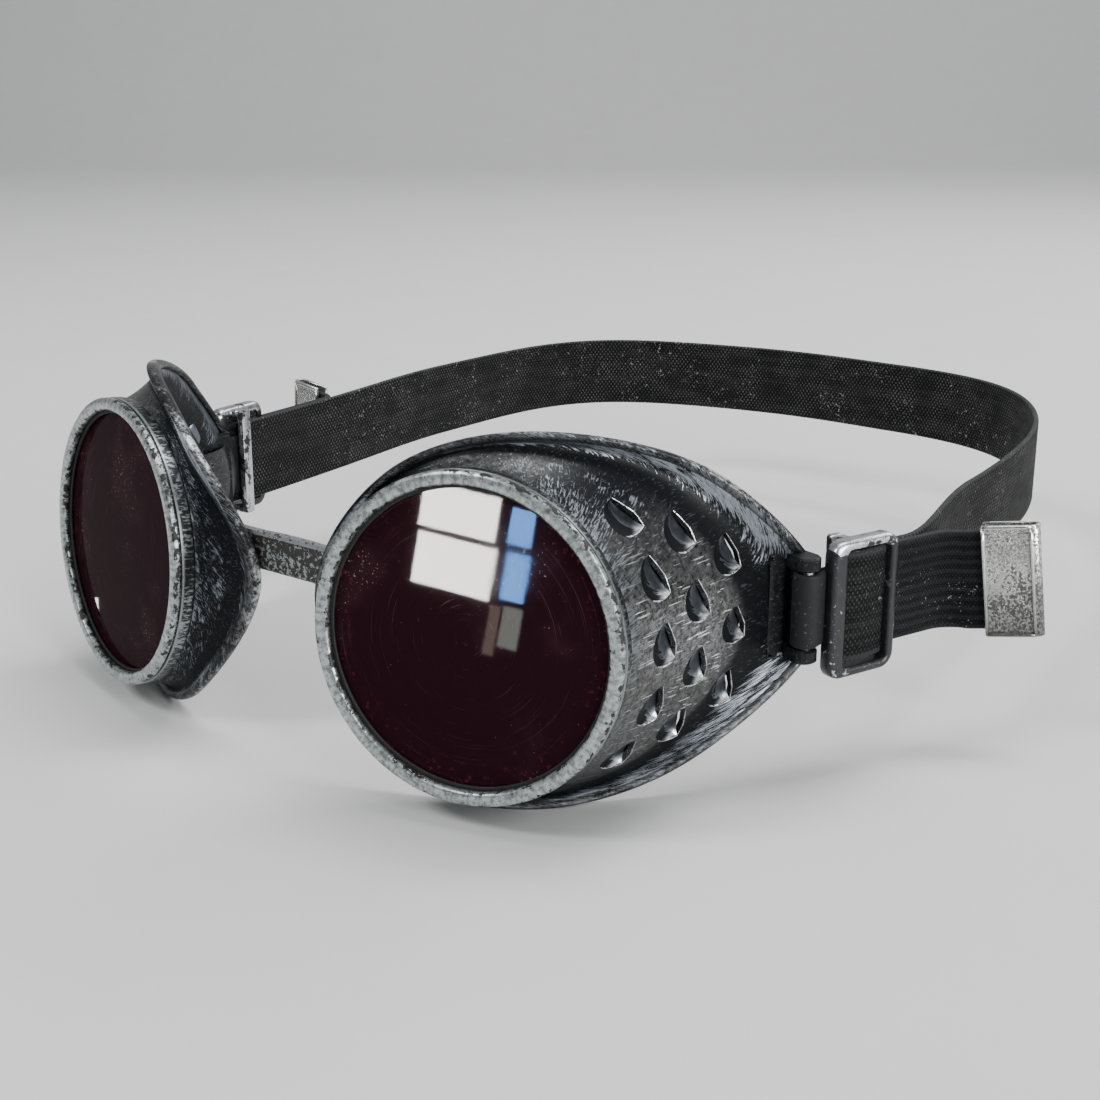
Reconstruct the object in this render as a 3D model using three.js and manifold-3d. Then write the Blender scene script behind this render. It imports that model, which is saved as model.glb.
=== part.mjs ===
// Welding goggles: two stamped metal eye cups with screwed lens rings, a nose bridge and a head strap.
// Millimetres, +Z up. The wearer faces -Y and the wearer's left is +X.
// The origin is the middle of the bridge's front face.
import * as THREE from 'three';
import { mergeVertices } from 'three/addons/utils/BufferGeometryUtils.js';
import Module from 'manifold-3d';

const wasm = await Module();
wasm.setup();

// ---- driving dimensions ----
const GAP = 0.3;

// Lens axes, measured from the point midway between the two ring faces
const LENS_HALF_SPACING = 45.2;
const TOE_OUT = THREE.MathUtils.degToRad(14.3);
const LIFT = THREE.MathUtils.degToRad(4.25);
const ROUND_STEPS = 40;

// Depths along a lens axis start at the ring's front face
const RING_RADIUS = 28;
const RING_OPENING = 25.4;
const RING_LIP = 1.2;
const RING_DEPTH = 4.2;
const NECK_RADIUS = 26.55;
const NECK_BORE = 26;
const NECK_FRONT = 1.5;
const LENS_RADIUS = 25.7;
const LENS_FACE = 24.5;
const LENS_BEVEL = 0.4;
const GASKET_BORE = 24.9;
const FRONT_GASKET = [1.5, 1.9];
const COVER_LENS = [2.2, 3.2];
const FILTER_LENS = [3.5, 5.7];
const REAR_GASKET = [6, 6.5];
const LEDGE = [6.8, 7.9];
const LEDGE_BORE = 24;

// Eye cup: a wall that grows from the round shoulder to the face rim, a flared flange and a rolled bead
const CUP_STEPS = 48;
const CUP_SHEET = 1.3;
const SHOULDER_RADIUS = 27.2;
const SHOULDER_DEPTH = 4.6;
const WALL_WAIST = 0.7;
const FOOT_REACH = 0.6;
const FOOT_DEPTH = 0.85;
const BEAD_RADIUS = 1.4;
// Face rim seen along the lens axis: [towards the temple, up]
const RIM_OUTLINE = [
  [47.5, 0], [33, 25.5], [7.5, 33.5], [-18, 25],
  [-35.5, 0], [-19, -26.5], [7.5, -32], [31, -23.5],
];
const RIM_DEPTH = { axis: 6.7, slope: 0.28, sweep: 0.01275, bow: 0.0028, lean: -0.037 };

// Vents pressed through the temple side, in three staggered columns
const VENT_HEIGHT = 8;
const VENT_WIDTH = 5.4;
const VENT_PITCH = THREE.MathUtils.degToRad(22.6);
const VENT_CENTRE = THREE.MathUtils.degToRad(0.6);
const VENT_LEAN = 1.3;
const VENT_CUT = 22;
const VENT_COLUMNS = [
  { depth: 14, count: 5 },
  { depth: 22.8, count: 4 },
  { depth: 31.6, count: 3 },
];
const BAFFLE = {
  from: -58, to: 62, steps: 12, start: 0.16, end: 0.88, lip: 0.03, near: 2.9, far: 5, sheet: 0.7,
};

// Bridge band behind the nose-side rims
const BRIDGE_FRONT = 5.5;
const BRIDGE_CENTRE_Z = 4;
const BRIDGE_HEIGHT = 7.4;
const BRIDGE_SHEET = 2;
const BRIDGE_HALF_LENGTH = 16.2;
const BRIDGE_FLAT = 5;
const BRIDGE_JOGGLE = { to: 6.5, back: 0.2 };
const RIVET_OFFSET = 13.2;
const RIVET_RADIUS = 1.1;
const RIVET_HEAD = 2;
const RIVET_BITE = 0.7;

// Strap hardware on each temple, all centred on one height
const STRAP_Z = -1.2;
const PIN = { x: 78.5, y: 52, radius: 1.2, top: 9.2, bottom: -9.2 };
const LUG = { root: [75.2, 53.2], rootRadius: 2, tipRadius: 2.3, near: 7.1, far: 9.6 };
const NOTCH = { half: 8.6, from: [-5, -6], to: [12, 9] };
const LOOP_SHEET = 1;
const LOOP_HEIGHT = 13.4;
const WEB_WIDTH = 18.8;
const WEB_SHEET = 1.3;
const LAYER_OFFSET = 0.8;
const SLIDER = { length: 15.5, height: 25.2, front: 3.2, rear: 1.9, rail: 1.8, corner: 2.8 };
const SLIDER_FACE = 3.45;
const SLIDER_SHEET = 1.7;
const SLIDER_RAIL_BACK = 0.3;
const CENTRE_BAR = [-3.8, -1];
const WEB_SLOT = 21;
const SEAM = { outer: -6.2, inner: -2.4 };
const STRAIGHT_END = 12.75;
const TAIL_GAP = 0.6;
const CLIP = { length: 10, height: 20.8, sheet: 0.65, cover: 8.6, border: 0.55 };

// The two ends of the strap lie differently: heading outward from straight back, then the loose tail
const SIDES = [
  {
    name: 'left', sign: 1, reach: 11, heading: 17.6, sag: 0.7,
    tail: { run: 5.4, bend: 55, radius: 7, end: 12, rise: 7 },
  },
  {
    name: 'right', sign: -1, reach: 12.5, heading: 8, sag: -0.5,
    tail: { run: 18.5, bend: 75, radius: 4.5, end: 10.5, rise: 5 },
  },
];

// Plan of the strap round the head
const STRAP_CHEEK = [79, 115];
const STRAP_BACK = [5, 221];
const STRAP_BULGE = [-88.5, 158];
const STRAP_STEPS = 13;
const STRAP_LEVELS_AFTER = 10;

// ---- materials ----
function finish(color, roughness, metalness) {
  return new THREE.MeshStandardMaterial({ color, roughness, metalness });
}
const ringSilver = () => finish(0xb9bdbd, 0.42, 0.85);
const cupPaint = () => finish(0x2b2e31, 0.48, 0.7);
const bareSteel = () => finish(0x8d9092, 0.38, 0.9);
const clearCover = () => finish(0x3b2a33, 0.08, 0);
const darkGlass = () => finish(0x25101a, 0.06, 0);
const blackRubber = () => finish(0x121212, 0.8, 0);
const blackSheet = () => finish(0x1b1c1e, 0.6, 0.6);
const sliderSteel = () => finish(0x4d5258, 0.4, 0.8);
const webbing = () => finish(0x34373a, 0.92, 0);
const smoothBand = () => finish(0x3b3f42, 0.7, 0);
const clipSilver = () => finish(0xa9adad, 0.4, 0.85);

// ---- solids ----
function closedGeometry(positions, indices) {
  const geometry = new THREE.BufferGeometry();
  geometry.setAttribute('position', new THREE.Float32BufferAttribute(positions, 3));
  geometry.setIndex(indices);
  return geometry;
}

function manifoldOf(geometry) {
  const bare = geometry.clone();
  bare.deleteAttribute('normal');
  bare.deleteAttribute('uv');
  const merged = mergeVertices(bare, 1e-4);
  const mesh = new wasm.Mesh({
    numProp: 3,
    vertProperties: new Float32Array(merged.attributes.position.array),
    triVerts: new Uint32Array(merged.index.array),
  });
  return new wasm.Manifold(mesh);
}

function geometryOf(manifold) {
  const mesh = manifold.getMesh();
  const geometry = closedGeometry(Array.from(mesh.vertProperties), Array.from(mesh.triVerts));
  geometry.computeVertexNormals();
  return geometry;
}

function cut(geometry, cutters) {
  const solid = manifoldOf(geometry);
  return geometryOf(cutters.reduce((body, cutter) => body.subtract(manifoldOf(cutter)), solid));
}

function join(parts) {
  const solids = parts.map(manifoldOf);
  return geometryOf(solids.reduce((body, part) => body.add(part)));
}

// Six times the volume that a closed skin holds, negative when its faces look inwards
function signedVolume(positions, indices) {
  const corner = (k) => new THREE.Vector3().fromArray(positions, 3 * indices[k]);
  let total = 0;
  for (let k = 0; k < indices.length; k += 3) {
    total += corner(k).dot(corner(k + 1).cross(corner(k + 2)));
  }
  return total;
}

// Joins a row of equal closed rings of points, bent round into a loop or capped at both ends
function skin(rings, looped) {
  const count = rings[0].length;
  const positions = rings.flat().flatMap((point) => [point.x, point.y, point.z]);
  const indices = [];
  const rows = looped ? rings.length : rings.length - 1;
  for (let row = 0; row < rows; row += 1) {
    const next = (row + 1) % rings.length;
    for (let k = 0; k < count; k += 1) {
      const m = (k + 1) % count;
      indices.push(row * count + k, next * count + k, next * count + m);
      indices.push(row * count + k, next * count + m, row * count + m);
    }
  }
  if (!looped) {
    const last = (rings.length - 1) * count;
    for (let k = 1; k < count - 1; k += 1) {
      indices.push(0, k, k + 1);
      indices.push(last, last + k + 1, last + k);
    }
  }
  if (signedVolume(positions, indices) < 0) {
    indices.reverse();
  }
  return closedGeometry(positions, indices);
}

function box(x0, x1, y0, y1, z0, z1) {
  const geometry = new THREE.BoxGeometry(x1 - x0, y1 - y0, z1 - z0);
  return geometry.translate((x0 + x1) / 2, (y0 + y1) / 2, (z0 + z1) / 2);
}

// A cylinder standing along +Z
function post(radius, z0, z1, steps = 20) {
  const geometry = new THREE.CylinderGeometry(radius, radius, z1 - z0, steps);
  return geometry.rotateX(Math.PI / 2).translate(0, 0, (z0 + z1) / 2);
}

function turned(profile, steps = ROUND_STEPS) {
  return new THREE.LatheGeometry(profile.map(([radius, depth]) => new THREE.Vector2(radius, depth)), steps);
}

function node(name, geometry, material) {
  const mesh = new THREE.Mesh(geometry, material);
  mesh.name = name;
  return mesh;
}

// ---- eye cup, in the lens frame: X towards the temple, Y deeper towards the face, Z up ----
const rimCurve = new THREE.CatmullRomCurve3(
  RIM_OUTLINE.map(([across, up]) => new THREE.Vector3(across, rimDepth(across, up), up)),
  true,
  'catmullrom',
);

function rimDepth(across, up) {
  const { axis, slope, sweep, bow, lean } = RIM_DEPTH;
  return axis + slope * across + sweep * across * across + bow * up * up + lean * up;
}

// A ray of the cup at one angle round the lens: places [distance out from the shoulder, depth] in space
function cupRay(angle) {
  const turn = ((angle / (2 * Math.PI)) % 1 + 1) % 1;
  const rim = rimCurve.getPoint(turn);
  const radial = new THREE.Vector3(Math.cos(angle), 0, Math.sin(angle));
  const shoulder = radial.clone().multiplyScalar(SHOULDER_RADIUS);
  const outward = new THREE.Vector3(rim.x, 0, rim.z).sub(shoulder);
  const reach = outward.length();
  outward.normalize();
  const place = (out, depth) => {
    const point = shoulder.clone().addScaledVector(out >= 0 ? outward : radial, out);
    point.y = depth;
    return point;
  };
  return { reach, rimDepth: rim.y, place };
}

// Where the straight wall starts at the shoulder and meets the flange, as [out, depth] pairs
function wallEnds({ reach, rimDepth: depth }) {
  const start = new THREE.Vector2(0, SHOULDER_DEPTH);
  const footDepth = THREE.MathUtils.lerp(SHOULDER_DEPTH, depth, FOOT_DEPTH);
  return { start, foot: new THREE.Vector2(FOOT_REACH * reach, footDepth) };
}

// Outside of the sheet from the shoulder to the bead
function cupOutside(ray) {
  const { reach, rimDepth: depth } = ray;
  const { start, foot } = wallEnds(ray);
  const bead = new THREE.Vector2(reach - BEAD_RADIUS, depth);
  const flange = bead.clone().sub(foot).normalize();
  const edge = bead.clone().add(new THREE.Vector2(flange.y, -flange.x).multiplyScalar(CUP_SHEET / 2));
  const wall = [0, 0.2, 0.45, 0.72].map((t) => {
    const point = start.clone().lerp(foot, t);
    point.x -= WALL_WAIST * Math.sin(Math.PI * t) * (1 - t);
    return point;
  });
  const filletStart = wall[wall.length - 1];
  const filletEnd = foot.clone().lerp(edge, 0.35);
  const fillet = new THREE.QuadraticBezierCurve(filletStart, foot, filletEnd).getPoints(4).slice(1);
  return [...wall, ...fillet, foot.clone().lerp(edge, 0.62)];
}

// The same line moved into the cup by a sheet thickness
function movedInside(line, distance) {
  return line.map((point, k) => {
    const before = line[Math.max(k - 1, 0)];
    const after = line[Math.min(k + 1, line.length - 1)];
    const along = after.clone().sub(before).normalize();
    return new THREE.Vector2(point.x - along.y * distance, point.y + along.x * distance);
  });
}

function beadArc({ reach, rimDepth: depth }) {
  return [-112, -64, -16, 32, 80].map((degrees) => {
    const angle = THREE.MathUtils.degToRad(degrees);
    const out = reach - BEAD_RADIUS + BEAD_RADIUS * Math.cos(angle);
    return new THREE.Vector2(out, depth + BEAD_RADIUS * Math.sin(angle));
  });
}

function cupSection(angle) {
  const ray = cupRay(angle);
  const outside = cupOutside(ray);
  const neck = [[NECK_RADIUS, NECK_FRONT], [NECK_RADIUS, SHOULDER_DEPTH]];
  const ledge = [
    [LEDGE_BORE, LEDGE[1]], [LEDGE_BORE, LEDGE[0]], [NECK_BORE, LEDGE[0]], [NECK_BORE, NECK_FRONT],
  ];
  const toShoulder = ([radius, depth]) => ray.place(radius - SHOULDER_RADIUS, depth);
  const inside = movedInside(outside, CUP_SHEET).reverse();
  return [
    ...neck.map(toShoulder),
    ...outside.map((point) => ray.place(point.x, point.y)),
    ...beadArc(ray).map((point) => ray.place(point.x, point.y)),
    ...inside.map((point) => ray.place(point.x, Math.max(point.y, LEDGE[1]))),
    ...ledge.map(toShoulder),
  ];
}

function cupShell() {
  const sections = [];
  for (let k = 0; k < CUP_STEPS; k += 1) {
    sections.push(cupSection((2 * Math.PI * k) / CUP_STEPS));
  }
  return skin(sections, true);
}

// Leaf-shaped opening with its point up, straight on the temple side
function ventShape() {
  const shape = new THREE.Shape();
  const half = VENT_HEIGHT / 2;
  shape.moveTo(VENT_WIDTH * 0.1, half);
  shape.bezierCurveTo(
    -VENT_WIDTH * 0.45, half * 0.6, -VENT_WIDTH * 0.6, -half * 0.3, -VENT_WIDTH * 0.3, -half * 0.8,
  );
  shape.quadraticCurveTo(0, -half * 1.15, VENT_WIDTH * 0.45, -half * 0.7);
  shape.lineTo(VENT_WIDTH * 0.4, 0);
  shape.lineTo(VENT_WIDTH * 0.1, half);
  return shape;
}

function ventCutters() {
  const cutters = [];
  for (const { depth, count } of VENT_COLUMNS) {
    for (let k = 0; k < count; k += 1) {
      const angle = VENT_CENTRE + (k - (count - 1) / 2) * VENT_PITCH;
      const cutter = new THREE.ExtrudeGeometry(ventShape(), {
        depth: VENT_CUT, bevelEnabled: false, curveSegments: 3,
      });
      const outward = new THREE.Vector3(Math.cos(angle), 0, Math.sin(angle));
      const deeper = new THREE.Vector3(0, 1, 0);
      const around = new THREE.Vector3().crossVectors(outward, deeper);
      const frame = new THREE.Matrix4().makeBasis(deeper, around, outward);
      const start = outward.clone().multiplyScalar(LEDGE_BORE - 2);
      frame.setPosition(start.setY(depth - VENT_LEAN * Math.sin(angle)));
      cutters.push(cutter.applyMatrix4(frame));
    }
  }
  return cutters;
}

// Channel-shaped light shield behind the vents
function baffleGeometry() {
  const { from, to, steps, start, end, lip, near, far, sheet } = BAFFLE;
  const corners = [
    [start, near], [start, far], [end, far], [end, near],
    [end - lip, near], [end - lip, far - sheet], [start + lip, far - sheet], [start + lip, near],
  ];
  const sections = [];
  for (let k = 0; k <= steps; k += 1) {
    const ray = cupRay(THREE.MathUtils.degToRad(THREE.MathUtils.lerp(from, to, k / steps)));
    const { start: head, foot } = wallEnds(ray);
    sections.push(corners.map(([t, inset]) => {
      const point = head.clone().lerp(foot, t);
      const depth = Math.max(point.y, LEDGE[1] + GAP + (t > start ? sheet : 0));
      return ray.place(point.x - inset, depth);
    }));
  }
  return skin(sections, false);
}

const lensPlacement = new THREE.Matrix4().compose(
  new THREE.Vector3(LENS_HALF_SPACING, 0, 0),
  new THREE.Quaternion().setFromEuler(new THREE.Euler(-LIFT, 0, TOE_OUT, 'ZYX')),
  new THREE.Vector3(1, 1, 1),
);

// ---- strap hardware, seen from the wearer's left side; the right side is its mirror image ----
function strapFrame(side) {
  const heading = THREE.MathUtils.degToRad(side.heading);
  const along = new THREE.Vector2(Math.sin(heading), Math.cos(heading));
  const out = new THREE.Vector2(along.y, -along.x);
  const centre = new THREE.Vector2(PIN.x, PIN.y).addScaledVector(along, side.reach);
  const at = (s, n) => centre.clone().addScaledVector(along, s).addScaledVector(out, n);
  return { along, out, centre, at };
}

// A flat band standing on edge along a plan line; stance gives each point's height and the lean of its edge
function band(points, width, sheet, stance = () => ({ z: STRAP_Z, lean: 0 })) {
  const sections = points.map((point, k) => {
    const before = points[Math.max(k - 1, 0)];
    const after = points[Math.min(k + 1, points.length - 1)];
    const along = after.clone().sub(before).normalize();
    const { z, lean } = stance(k);
    const up = new THREE.Vector3(along.x * Math.sin(lean), along.y * Math.sin(lean), Math.cos(lean));
    const out = new THREE.Vector3(along.y, -along.x, 0);
    const centre = new THREE.Vector3(point.x, point.y, z);
    const edge = (u) => centre.clone().addScaledVector(up, (u * width) / 2);
    const corner = (u, n) => edge(u).addScaledVector(out, (n * sheet) / 2);
    return [corner(-1, -1), corner(-1, 1), corner(1, 1), corner(1, -1)];
  });
  return skin(sections, false);
}

function lugCutters() {
  const hole = post(PIN.radius + GAP, -20, 20).translate(PIN.x, PIN.y, STRAP_Z);
  const [[x0, y0], [x1, y1]] = [NOTCH.from, NOTCH.to];
  const strapRoom = box(x0, x1, y0, y1, -NOTCH.half, NOTCH.half);
  strapRoom.rotateZ(-THREE.MathUtils.degToRad(SIDES[0].heading) / 2);
  strapRoom.translate(PIN.x - 1, PIN.y, STRAP_Z);
  return { hole, strapRoom };
}

// Two ears that hold the pin above and below the strap loop
function lugs() {
  const outline = new THREE.Shape();
  const root = new THREE.Vector2(...LUG.root);
  const tip = new THREE.Vector2(PIN.x, PIN.y);
  const across = tip.clone().sub(root).angle();
  outline.absarc(tip.x, tip.y, LUG.tipRadius, across - Math.PI / 2, across + Math.PI / 2, false);
  outline.absarc(root.x, root.y, LUG.rootRadius, across + Math.PI / 2, across + (3 * Math.PI) / 2, false);
  const thickness = LUG.far - LUG.near;
  const plate = new THREE.ExtrudeGeometry(outline, {
    depth: thickness, bevelEnabled: false, curveSegments: 8,
  });
  return [
    plate.clone().translate(0, 0, STRAP_Z + LUG.near),
    plate.clone().translate(0, 0, STRAP_Z - LUG.far),
  ];
}

function rivetHole(radius, y0, y1) {
  const hole = new THREE.CylinderGeometry(radius, radius, y1 - y0, 16);
  return hole.translate(RIVET_OFFSET, (y0 + y1) / 2, BRIDGE_CENTRE_Z);
}

function cupGeometry() {
  const { hole, strapRoom } = lugCutters();
  const shell = cut(cupShell(), ventCutters()).applyMatrix4(lensPlacement);
  const notched = cut(shell, [strapRoom]);
  const withLugs = join([notched, ...lugs()]);
  const rivet = rivetHole(RIVET_RADIUS + GAP, BRIDGE_FRONT - GAP - RIVET_BITE, BRIDGE_FRONT + 4);
  return cut(withLugs, [hole, rivet]);
}

// Smooth band round the pin, its two legs running back under the slider
function loopGeometry(side) {
  const { at } = strapFrame(side);
  const pinBack = -side.reach;
  const inner = PIN.radius + GAP;
  const outer = inner + LOOP_SHEET;
  const legIn = LAYER_OFFSET - WEB_SHEET / 2;
  const legOut = legIn + LOOP_SHEET;
  const settle = pinBack + 3.6;
  const outline = (radius, leg) => {
    const points = [[SEAM.inner - GAP, -leg], [settle, -leg]];
    for (let k = 0; k <= 12; k += 1) {
      const angle = THREE.MathUtils.degToRad(THREE.MathUtils.lerp(-75, -285, k / 12));
      points.push([pinBack + radius * Math.cos(angle), radius * Math.sin(angle)]);
    }
    points.push([settle, leg], [SEAM.outer - GAP, leg]);
    return points.map(([s, n]) => at(s, n));
  };
  const shape = new THREE.Shape([...outline(outer, legOut), ...outline(inner, legIn).reverse()]);
  const loop = new THREE.ExtrudeGeometry(shape, { depth: LOOP_HEIGHT, bevelEnabled: false });
  return loop.translate(0, 0, STRAP_Z - LOOP_HEIGHT / 2);
}

function roundedRectangle(x0, x1, y0, y1, radius, path = new THREE.Shape()) {
  path.moveTo(x0 + radius, y0);
  path.lineTo(x1 - radius, y0);
  path.absarc(x1 - radius, y0 + radius, radius, -Math.PI / 2, 0, false);
  path.lineTo(x1, y1 - radius);
  path.absarc(x1 - radius, y1 - radius, radius, 0, Math.PI / 2, false);
  path.lineTo(x0 + radius, y1);
  path.absarc(x0 + radius, y1 - radius, radius, Math.PI / 2, Math.PI, false);
  path.lineTo(x0, y0 + radius);
  path.absarc(x0 + radius, y0 + radius, radius, Math.PI, (3 * Math.PI) / 2, false);
  return path;
}

// Slider in its own frame: X back along the strap, Y up, Z out from the head
function sliderGeometry() {
  const halfLength = SLIDER.length / 2;
  const halfHeight = SLIDER.height / 2;
  const chamfer = 0.35;
  const farX = halfLength - chamfer;
  const farY = halfHeight - chamfer;
  const shape = roundedRectangle(-farX, farX, -farY, farY, SLIDER.corner - chamfer);
  shape.holes.push(roundedRectangle(
    -halfLength + SLIDER.front, halfLength - SLIDER.rear,
    -halfHeight + SLIDER.rail, halfHeight - SLIDER.rail, 1, new THREE.Path(),
  ));
  const frame = new THREE.ExtrudeGeometry(shape, {
    depth: SLIDER_FACE - SLIDER_RAIL_BACK - 2 * chamfer,
    bevelThickness: chamfer, bevelSize: chamfer, bevelSegments: 1, curveSegments: 4,
  }).translate(0, 0, SLIDER_RAIL_BACK + chamfer);
  const bar = box(...CENTRE_BAR, -farY, farY, -SLIDER_FACE, SLIDER_RAIL_BACK + 0.6);
  const layers = SLIDER_FACE - SLIDER_SHEET;
  const webRoom = box(-20, 20, -WEB_SLOT / 2, WEB_SLOT / 2, -layers, layers);
  return cut(join([frame, bar]), [webRoom]);
}

function sliderNode(side) {
  const { centre, along, out } = strapFrame(side);
  const slider = node(`${side.name}_slider`, sliderGeometry(), sliderSteel());
  const frame = new THREE.Matrix4().makeBasis(
    new THREE.Vector3(along.x, along.y, 0),
    new THREE.Vector3(0, 0, 1),
    new THREE.Vector3(out.x, out.y, 0),
  );
  slider.quaternion.setFromRotationMatrix(frame);
  slider.position.set(centre.x, centre.y, STRAP_Z - side.sag);
  return slider;
}

// Loose end of the webbing: straight on, one bend, then straight into the clip
function tailPlan(side) {
  const { at, along } = strapFrame(side);
  const { run, bend, radius, end } = side.tail;
  const begin = at(STRAIGHT_END + TAIL_GAP, LAYER_OFFSET);
  const bendStart = begin.clone().addScaledVector(along, run);
  const out = new THREE.Vector2(along.y, -along.x);
  const centre = bendStart.clone().addScaledVector(out, radius);
  const startAngle = bendStart.clone().sub(centre).angle();
  const endAngle = startAngle - THREE.MathUtils.degToRad(bend);
  const path = new THREE.Path();
  path.moveTo(begin.x, begin.y);
  path.lineTo(bendStart.x, bendStart.y);
  path.absarc(centre.x, centre.y, radius, startAngle, endAngle, true);
  const spoke = new THREE.Vector2(radius, 0).rotateAround(new THREE.Vector2(), endAngle);
  const bendEnd = centre.clone().add(spoke);
  const direction = along.clone().rotateAround(new THREE.Vector2(), -THREE.MathUtils.degToRad(bend));
  const tip = bendEnd.clone().addScaledVector(direction, end);
  path.lineTo(tip.x, tip.y);
  return { points: path.getPoints(8), tip, direction };
}

function tailTip(side) {
  const rise = THREE.MathUtils.degToRad(side.tail.rise);
  return { rise, z: STRAP_Z + side.tail.end * Math.tan(rise) };
}

function tailGeometry(side) {
  const { points } = tailPlan(side);
  const { rise, z } = tailTip(side);
  const last = points.length - 1;
  const stance = (k) => ({
    z: k === last ? z : STRAP_Z,
    lean: -rise * THREE.MathUtils.clamp((k - 1) / (last - 2), 0, 1),
  });
  return band(points, WEB_WIDTH, WEB_SHEET, stance);
}

// Folded metal clip over the webbing's end
function clipNode(side) {
  const { tip, direction } = tailPlan(side);
  const inside = CLIP.cover;
  const halfHeight = CLIP.height / 2;
  const halfSheet = WEB_SHEET / 2 + GAP + CLIP.sheet;
  const body = box(-inside, CLIP.length - inside, -halfSheet, halfSheet, -halfHeight, halfHeight);
  const slot = WEB_SHEET / 2 + GAP;
  const slotHeight = halfHeight - CLIP.border;
  const pocket = box(-inside - 1, GAP, -slot, slot, -slotHeight, slotHeight);
  const clip = node(`${side.name}_tail_clip`, cut(body, [pocket]), clipSilver());
  const { rise, z } = tailTip(side);
  clip.rotation.set(0, -rise, Math.atan2(direction.y, direction.x), 'ZYX');
  clip.position.set(tip.x, tip.y, z);
  return clip;
}

function returnLayer(side) {
  const { at } = strapFrame(side);
  return band([at(SEAM.outer, LAYER_OFFSET), at(STRAIGHT_END, LAYER_OFFSET)], WEB_WIDTH, WEB_SHEET);
}

// ---- whole strap round the head ----
function strapPlan() {
  const left = strapFrame(SIDES[0]);
  const right = strapFrame(SIDES[1]);
  const rightAt = (s) => {
    const point = right.at(s, -LAYER_OFFSET);
    return [-point.x, point.y];
  };
  const plan = new THREE.Path();
  const start = left.at(SEAM.inner, -LAYER_OFFSET);
  const leave = left.at(STRAIGHT_END, -LAYER_OFFSET);
  const lead = left.at(STRAIGHT_END + 7, -LAYER_OFFSET);
  plan.moveTo(start.x, start.y);
  plan.lineTo(leave.x, leave.y);
  plan.bezierCurveTo(lead.x, lead.y, STRAP_CHEEK[0] + 1.3, STRAP_CHEEK[1] - 15, ...STRAP_CHEEK);
  plan.bezierCurveTo(
    STRAP_CHEEK[0] - 3.5, STRAP_CHEEK[1] + 48, STRAP_BACK[0] + 58, STRAP_BACK[1] + 1.5, ...STRAP_BACK,
  );
  plan.bezierCurveTo(
    STRAP_BACK[0] - 73, STRAP_BACK[1] + 2, STRAP_BULGE[0] - 2.5, STRAP_BULGE[1] + 48, ...STRAP_BULGE,
  );
  plan.bezierCurveTo(
    STRAP_BULGE[0] + 1, STRAP_BULGE[1] - 23, ...rightAt(STRAIGHT_END + 20), ...rightAt(STRAIGHT_END),
  );
  plan.lineTo(...rightAt(SEAM.inner));
  return plan.getPoints(STRAP_STEPS);
}

function strapGeometry() {
  const points = strapPlan();
  const stance = (k) => {
    const fromStraight = Math.min(k, points.length - 1 - k) - 1;
    return { z: STRAP_Z * (1 - THREE.MathUtils.smoothstep(fromStraight, 0, STRAP_LEVELS_AFTER)), lean: 0 };
  };
  return band(points, WEB_WIDTH, WEB_SHEET, stance);
}

// ---- bridge ----
// A strip whose ends step back behind the cup rims
function bridgeGeometry() {
  const plan = new THREE.Shape();
  const back = BRIDGE_FRONT + BRIDGE_SHEET;
  const behindRims = BRIDGE_FRONT + BRIDGE_JOGGLE.back;
  plan.moveTo(-BRIDGE_HALF_LENGTH, behindRims);
  plan.lineTo(-BRIDGE_JOGGLE.to, behindRims);
  plan.lineTo(-BRIDGE_FLAT, BRIDGE_FRONT);
  plan.lineTo(BRIDGE_FLAT, BRIDGE_FRONT);
  plan.lineTo(BRIDGE_JOGGLE.to, behindRims);
  plan.lineTo(BRIDGE_HALF_LENGTH, behindRims);
  plan.lineTo(BRIDGE_HALF_LENGTH, back);
  plan.lineTo(BRIDGE_FLAT, back);
  plan.quadraticCurveTo(0, back + 0.8, -BRIDGE_FLAT, back);
  plan.lineTo(-BRIDGE_HALF_LENGTH, back);
  const strip = new THREE.ExtrudeGeometry(plan, {
    depth: BRIDGE_HEIGHT, bevelEnabled: false, curveSegments: 4,
  });
  strip.translate(0, 0, BRIDGE_CENTRE_Z - BRIDGE_HEIGHT / 2);
  const hole = () => rivetHole(RIVET_RADIUS + GAP, BRIDGE_FRONT - 2, BRIDGE_FRONT + 5);
  return cut(strip, [hole(), hole().translate(-2 * RIVET_OFFSET, 0, 0)]);
}

function rivetGeometry() {
  const front = BRIDGE_FRONT - RIVET_BITE;
  const head = BRIDGE_FRONT + BRIDGE_SHEET + GAP;
  const profile = [
    [0, front], [RIVET_RADIUS, front], [RIVET_RADIUS, head], [RIVET_HEAD, head],
    [RIVET_HEAD * 0.8, head + 0.6], [RIVET_HEAD * 0.4, head + 0.9], [0, head + 1],
  ];
  return turned(profile, 16).translate(RIVET_OFFSET, 0, BRIDGE_CENTRE_Z);
}

// ---- lens stack, in the lens frame ----
function disc([front, back]) {
  const edge = [[LENS_FACE, front], [LENS_RADIUS, front + LENS_BEVEL], [LENS_RADIUS, back]];
  return turned([[0, front], ...edge, [0, back]]);
}

function washer([front, back]) {
  return turned([
    [GASKET_BORE, front], [LENS_RADIUS, front], [LENS_RADIUS, back],
    [GASKET_BORE, back], [GASKET_BORE, front],
  ]);
}

function ringGeometry() {
  const skirt = NECK_RADIUS + GAP;
  return turned([
    [RING_OPENING, RING_LIP], [RING_OPENING, 0.4], [RING_OPENING + 0.4, 0], [RING_RADIUS - 0.6, 0],
    [RING_RADIUS, 0.6], [RING_RADIUS, RING_DEPTH - 0.3], [RING_RADIUS - 0.3, RING_DEPTH],
    [skirt, RING_DEPTH], [skirt, RING_LIP], [RING_OPENING, RING_LIP],
  ]);
}

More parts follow.
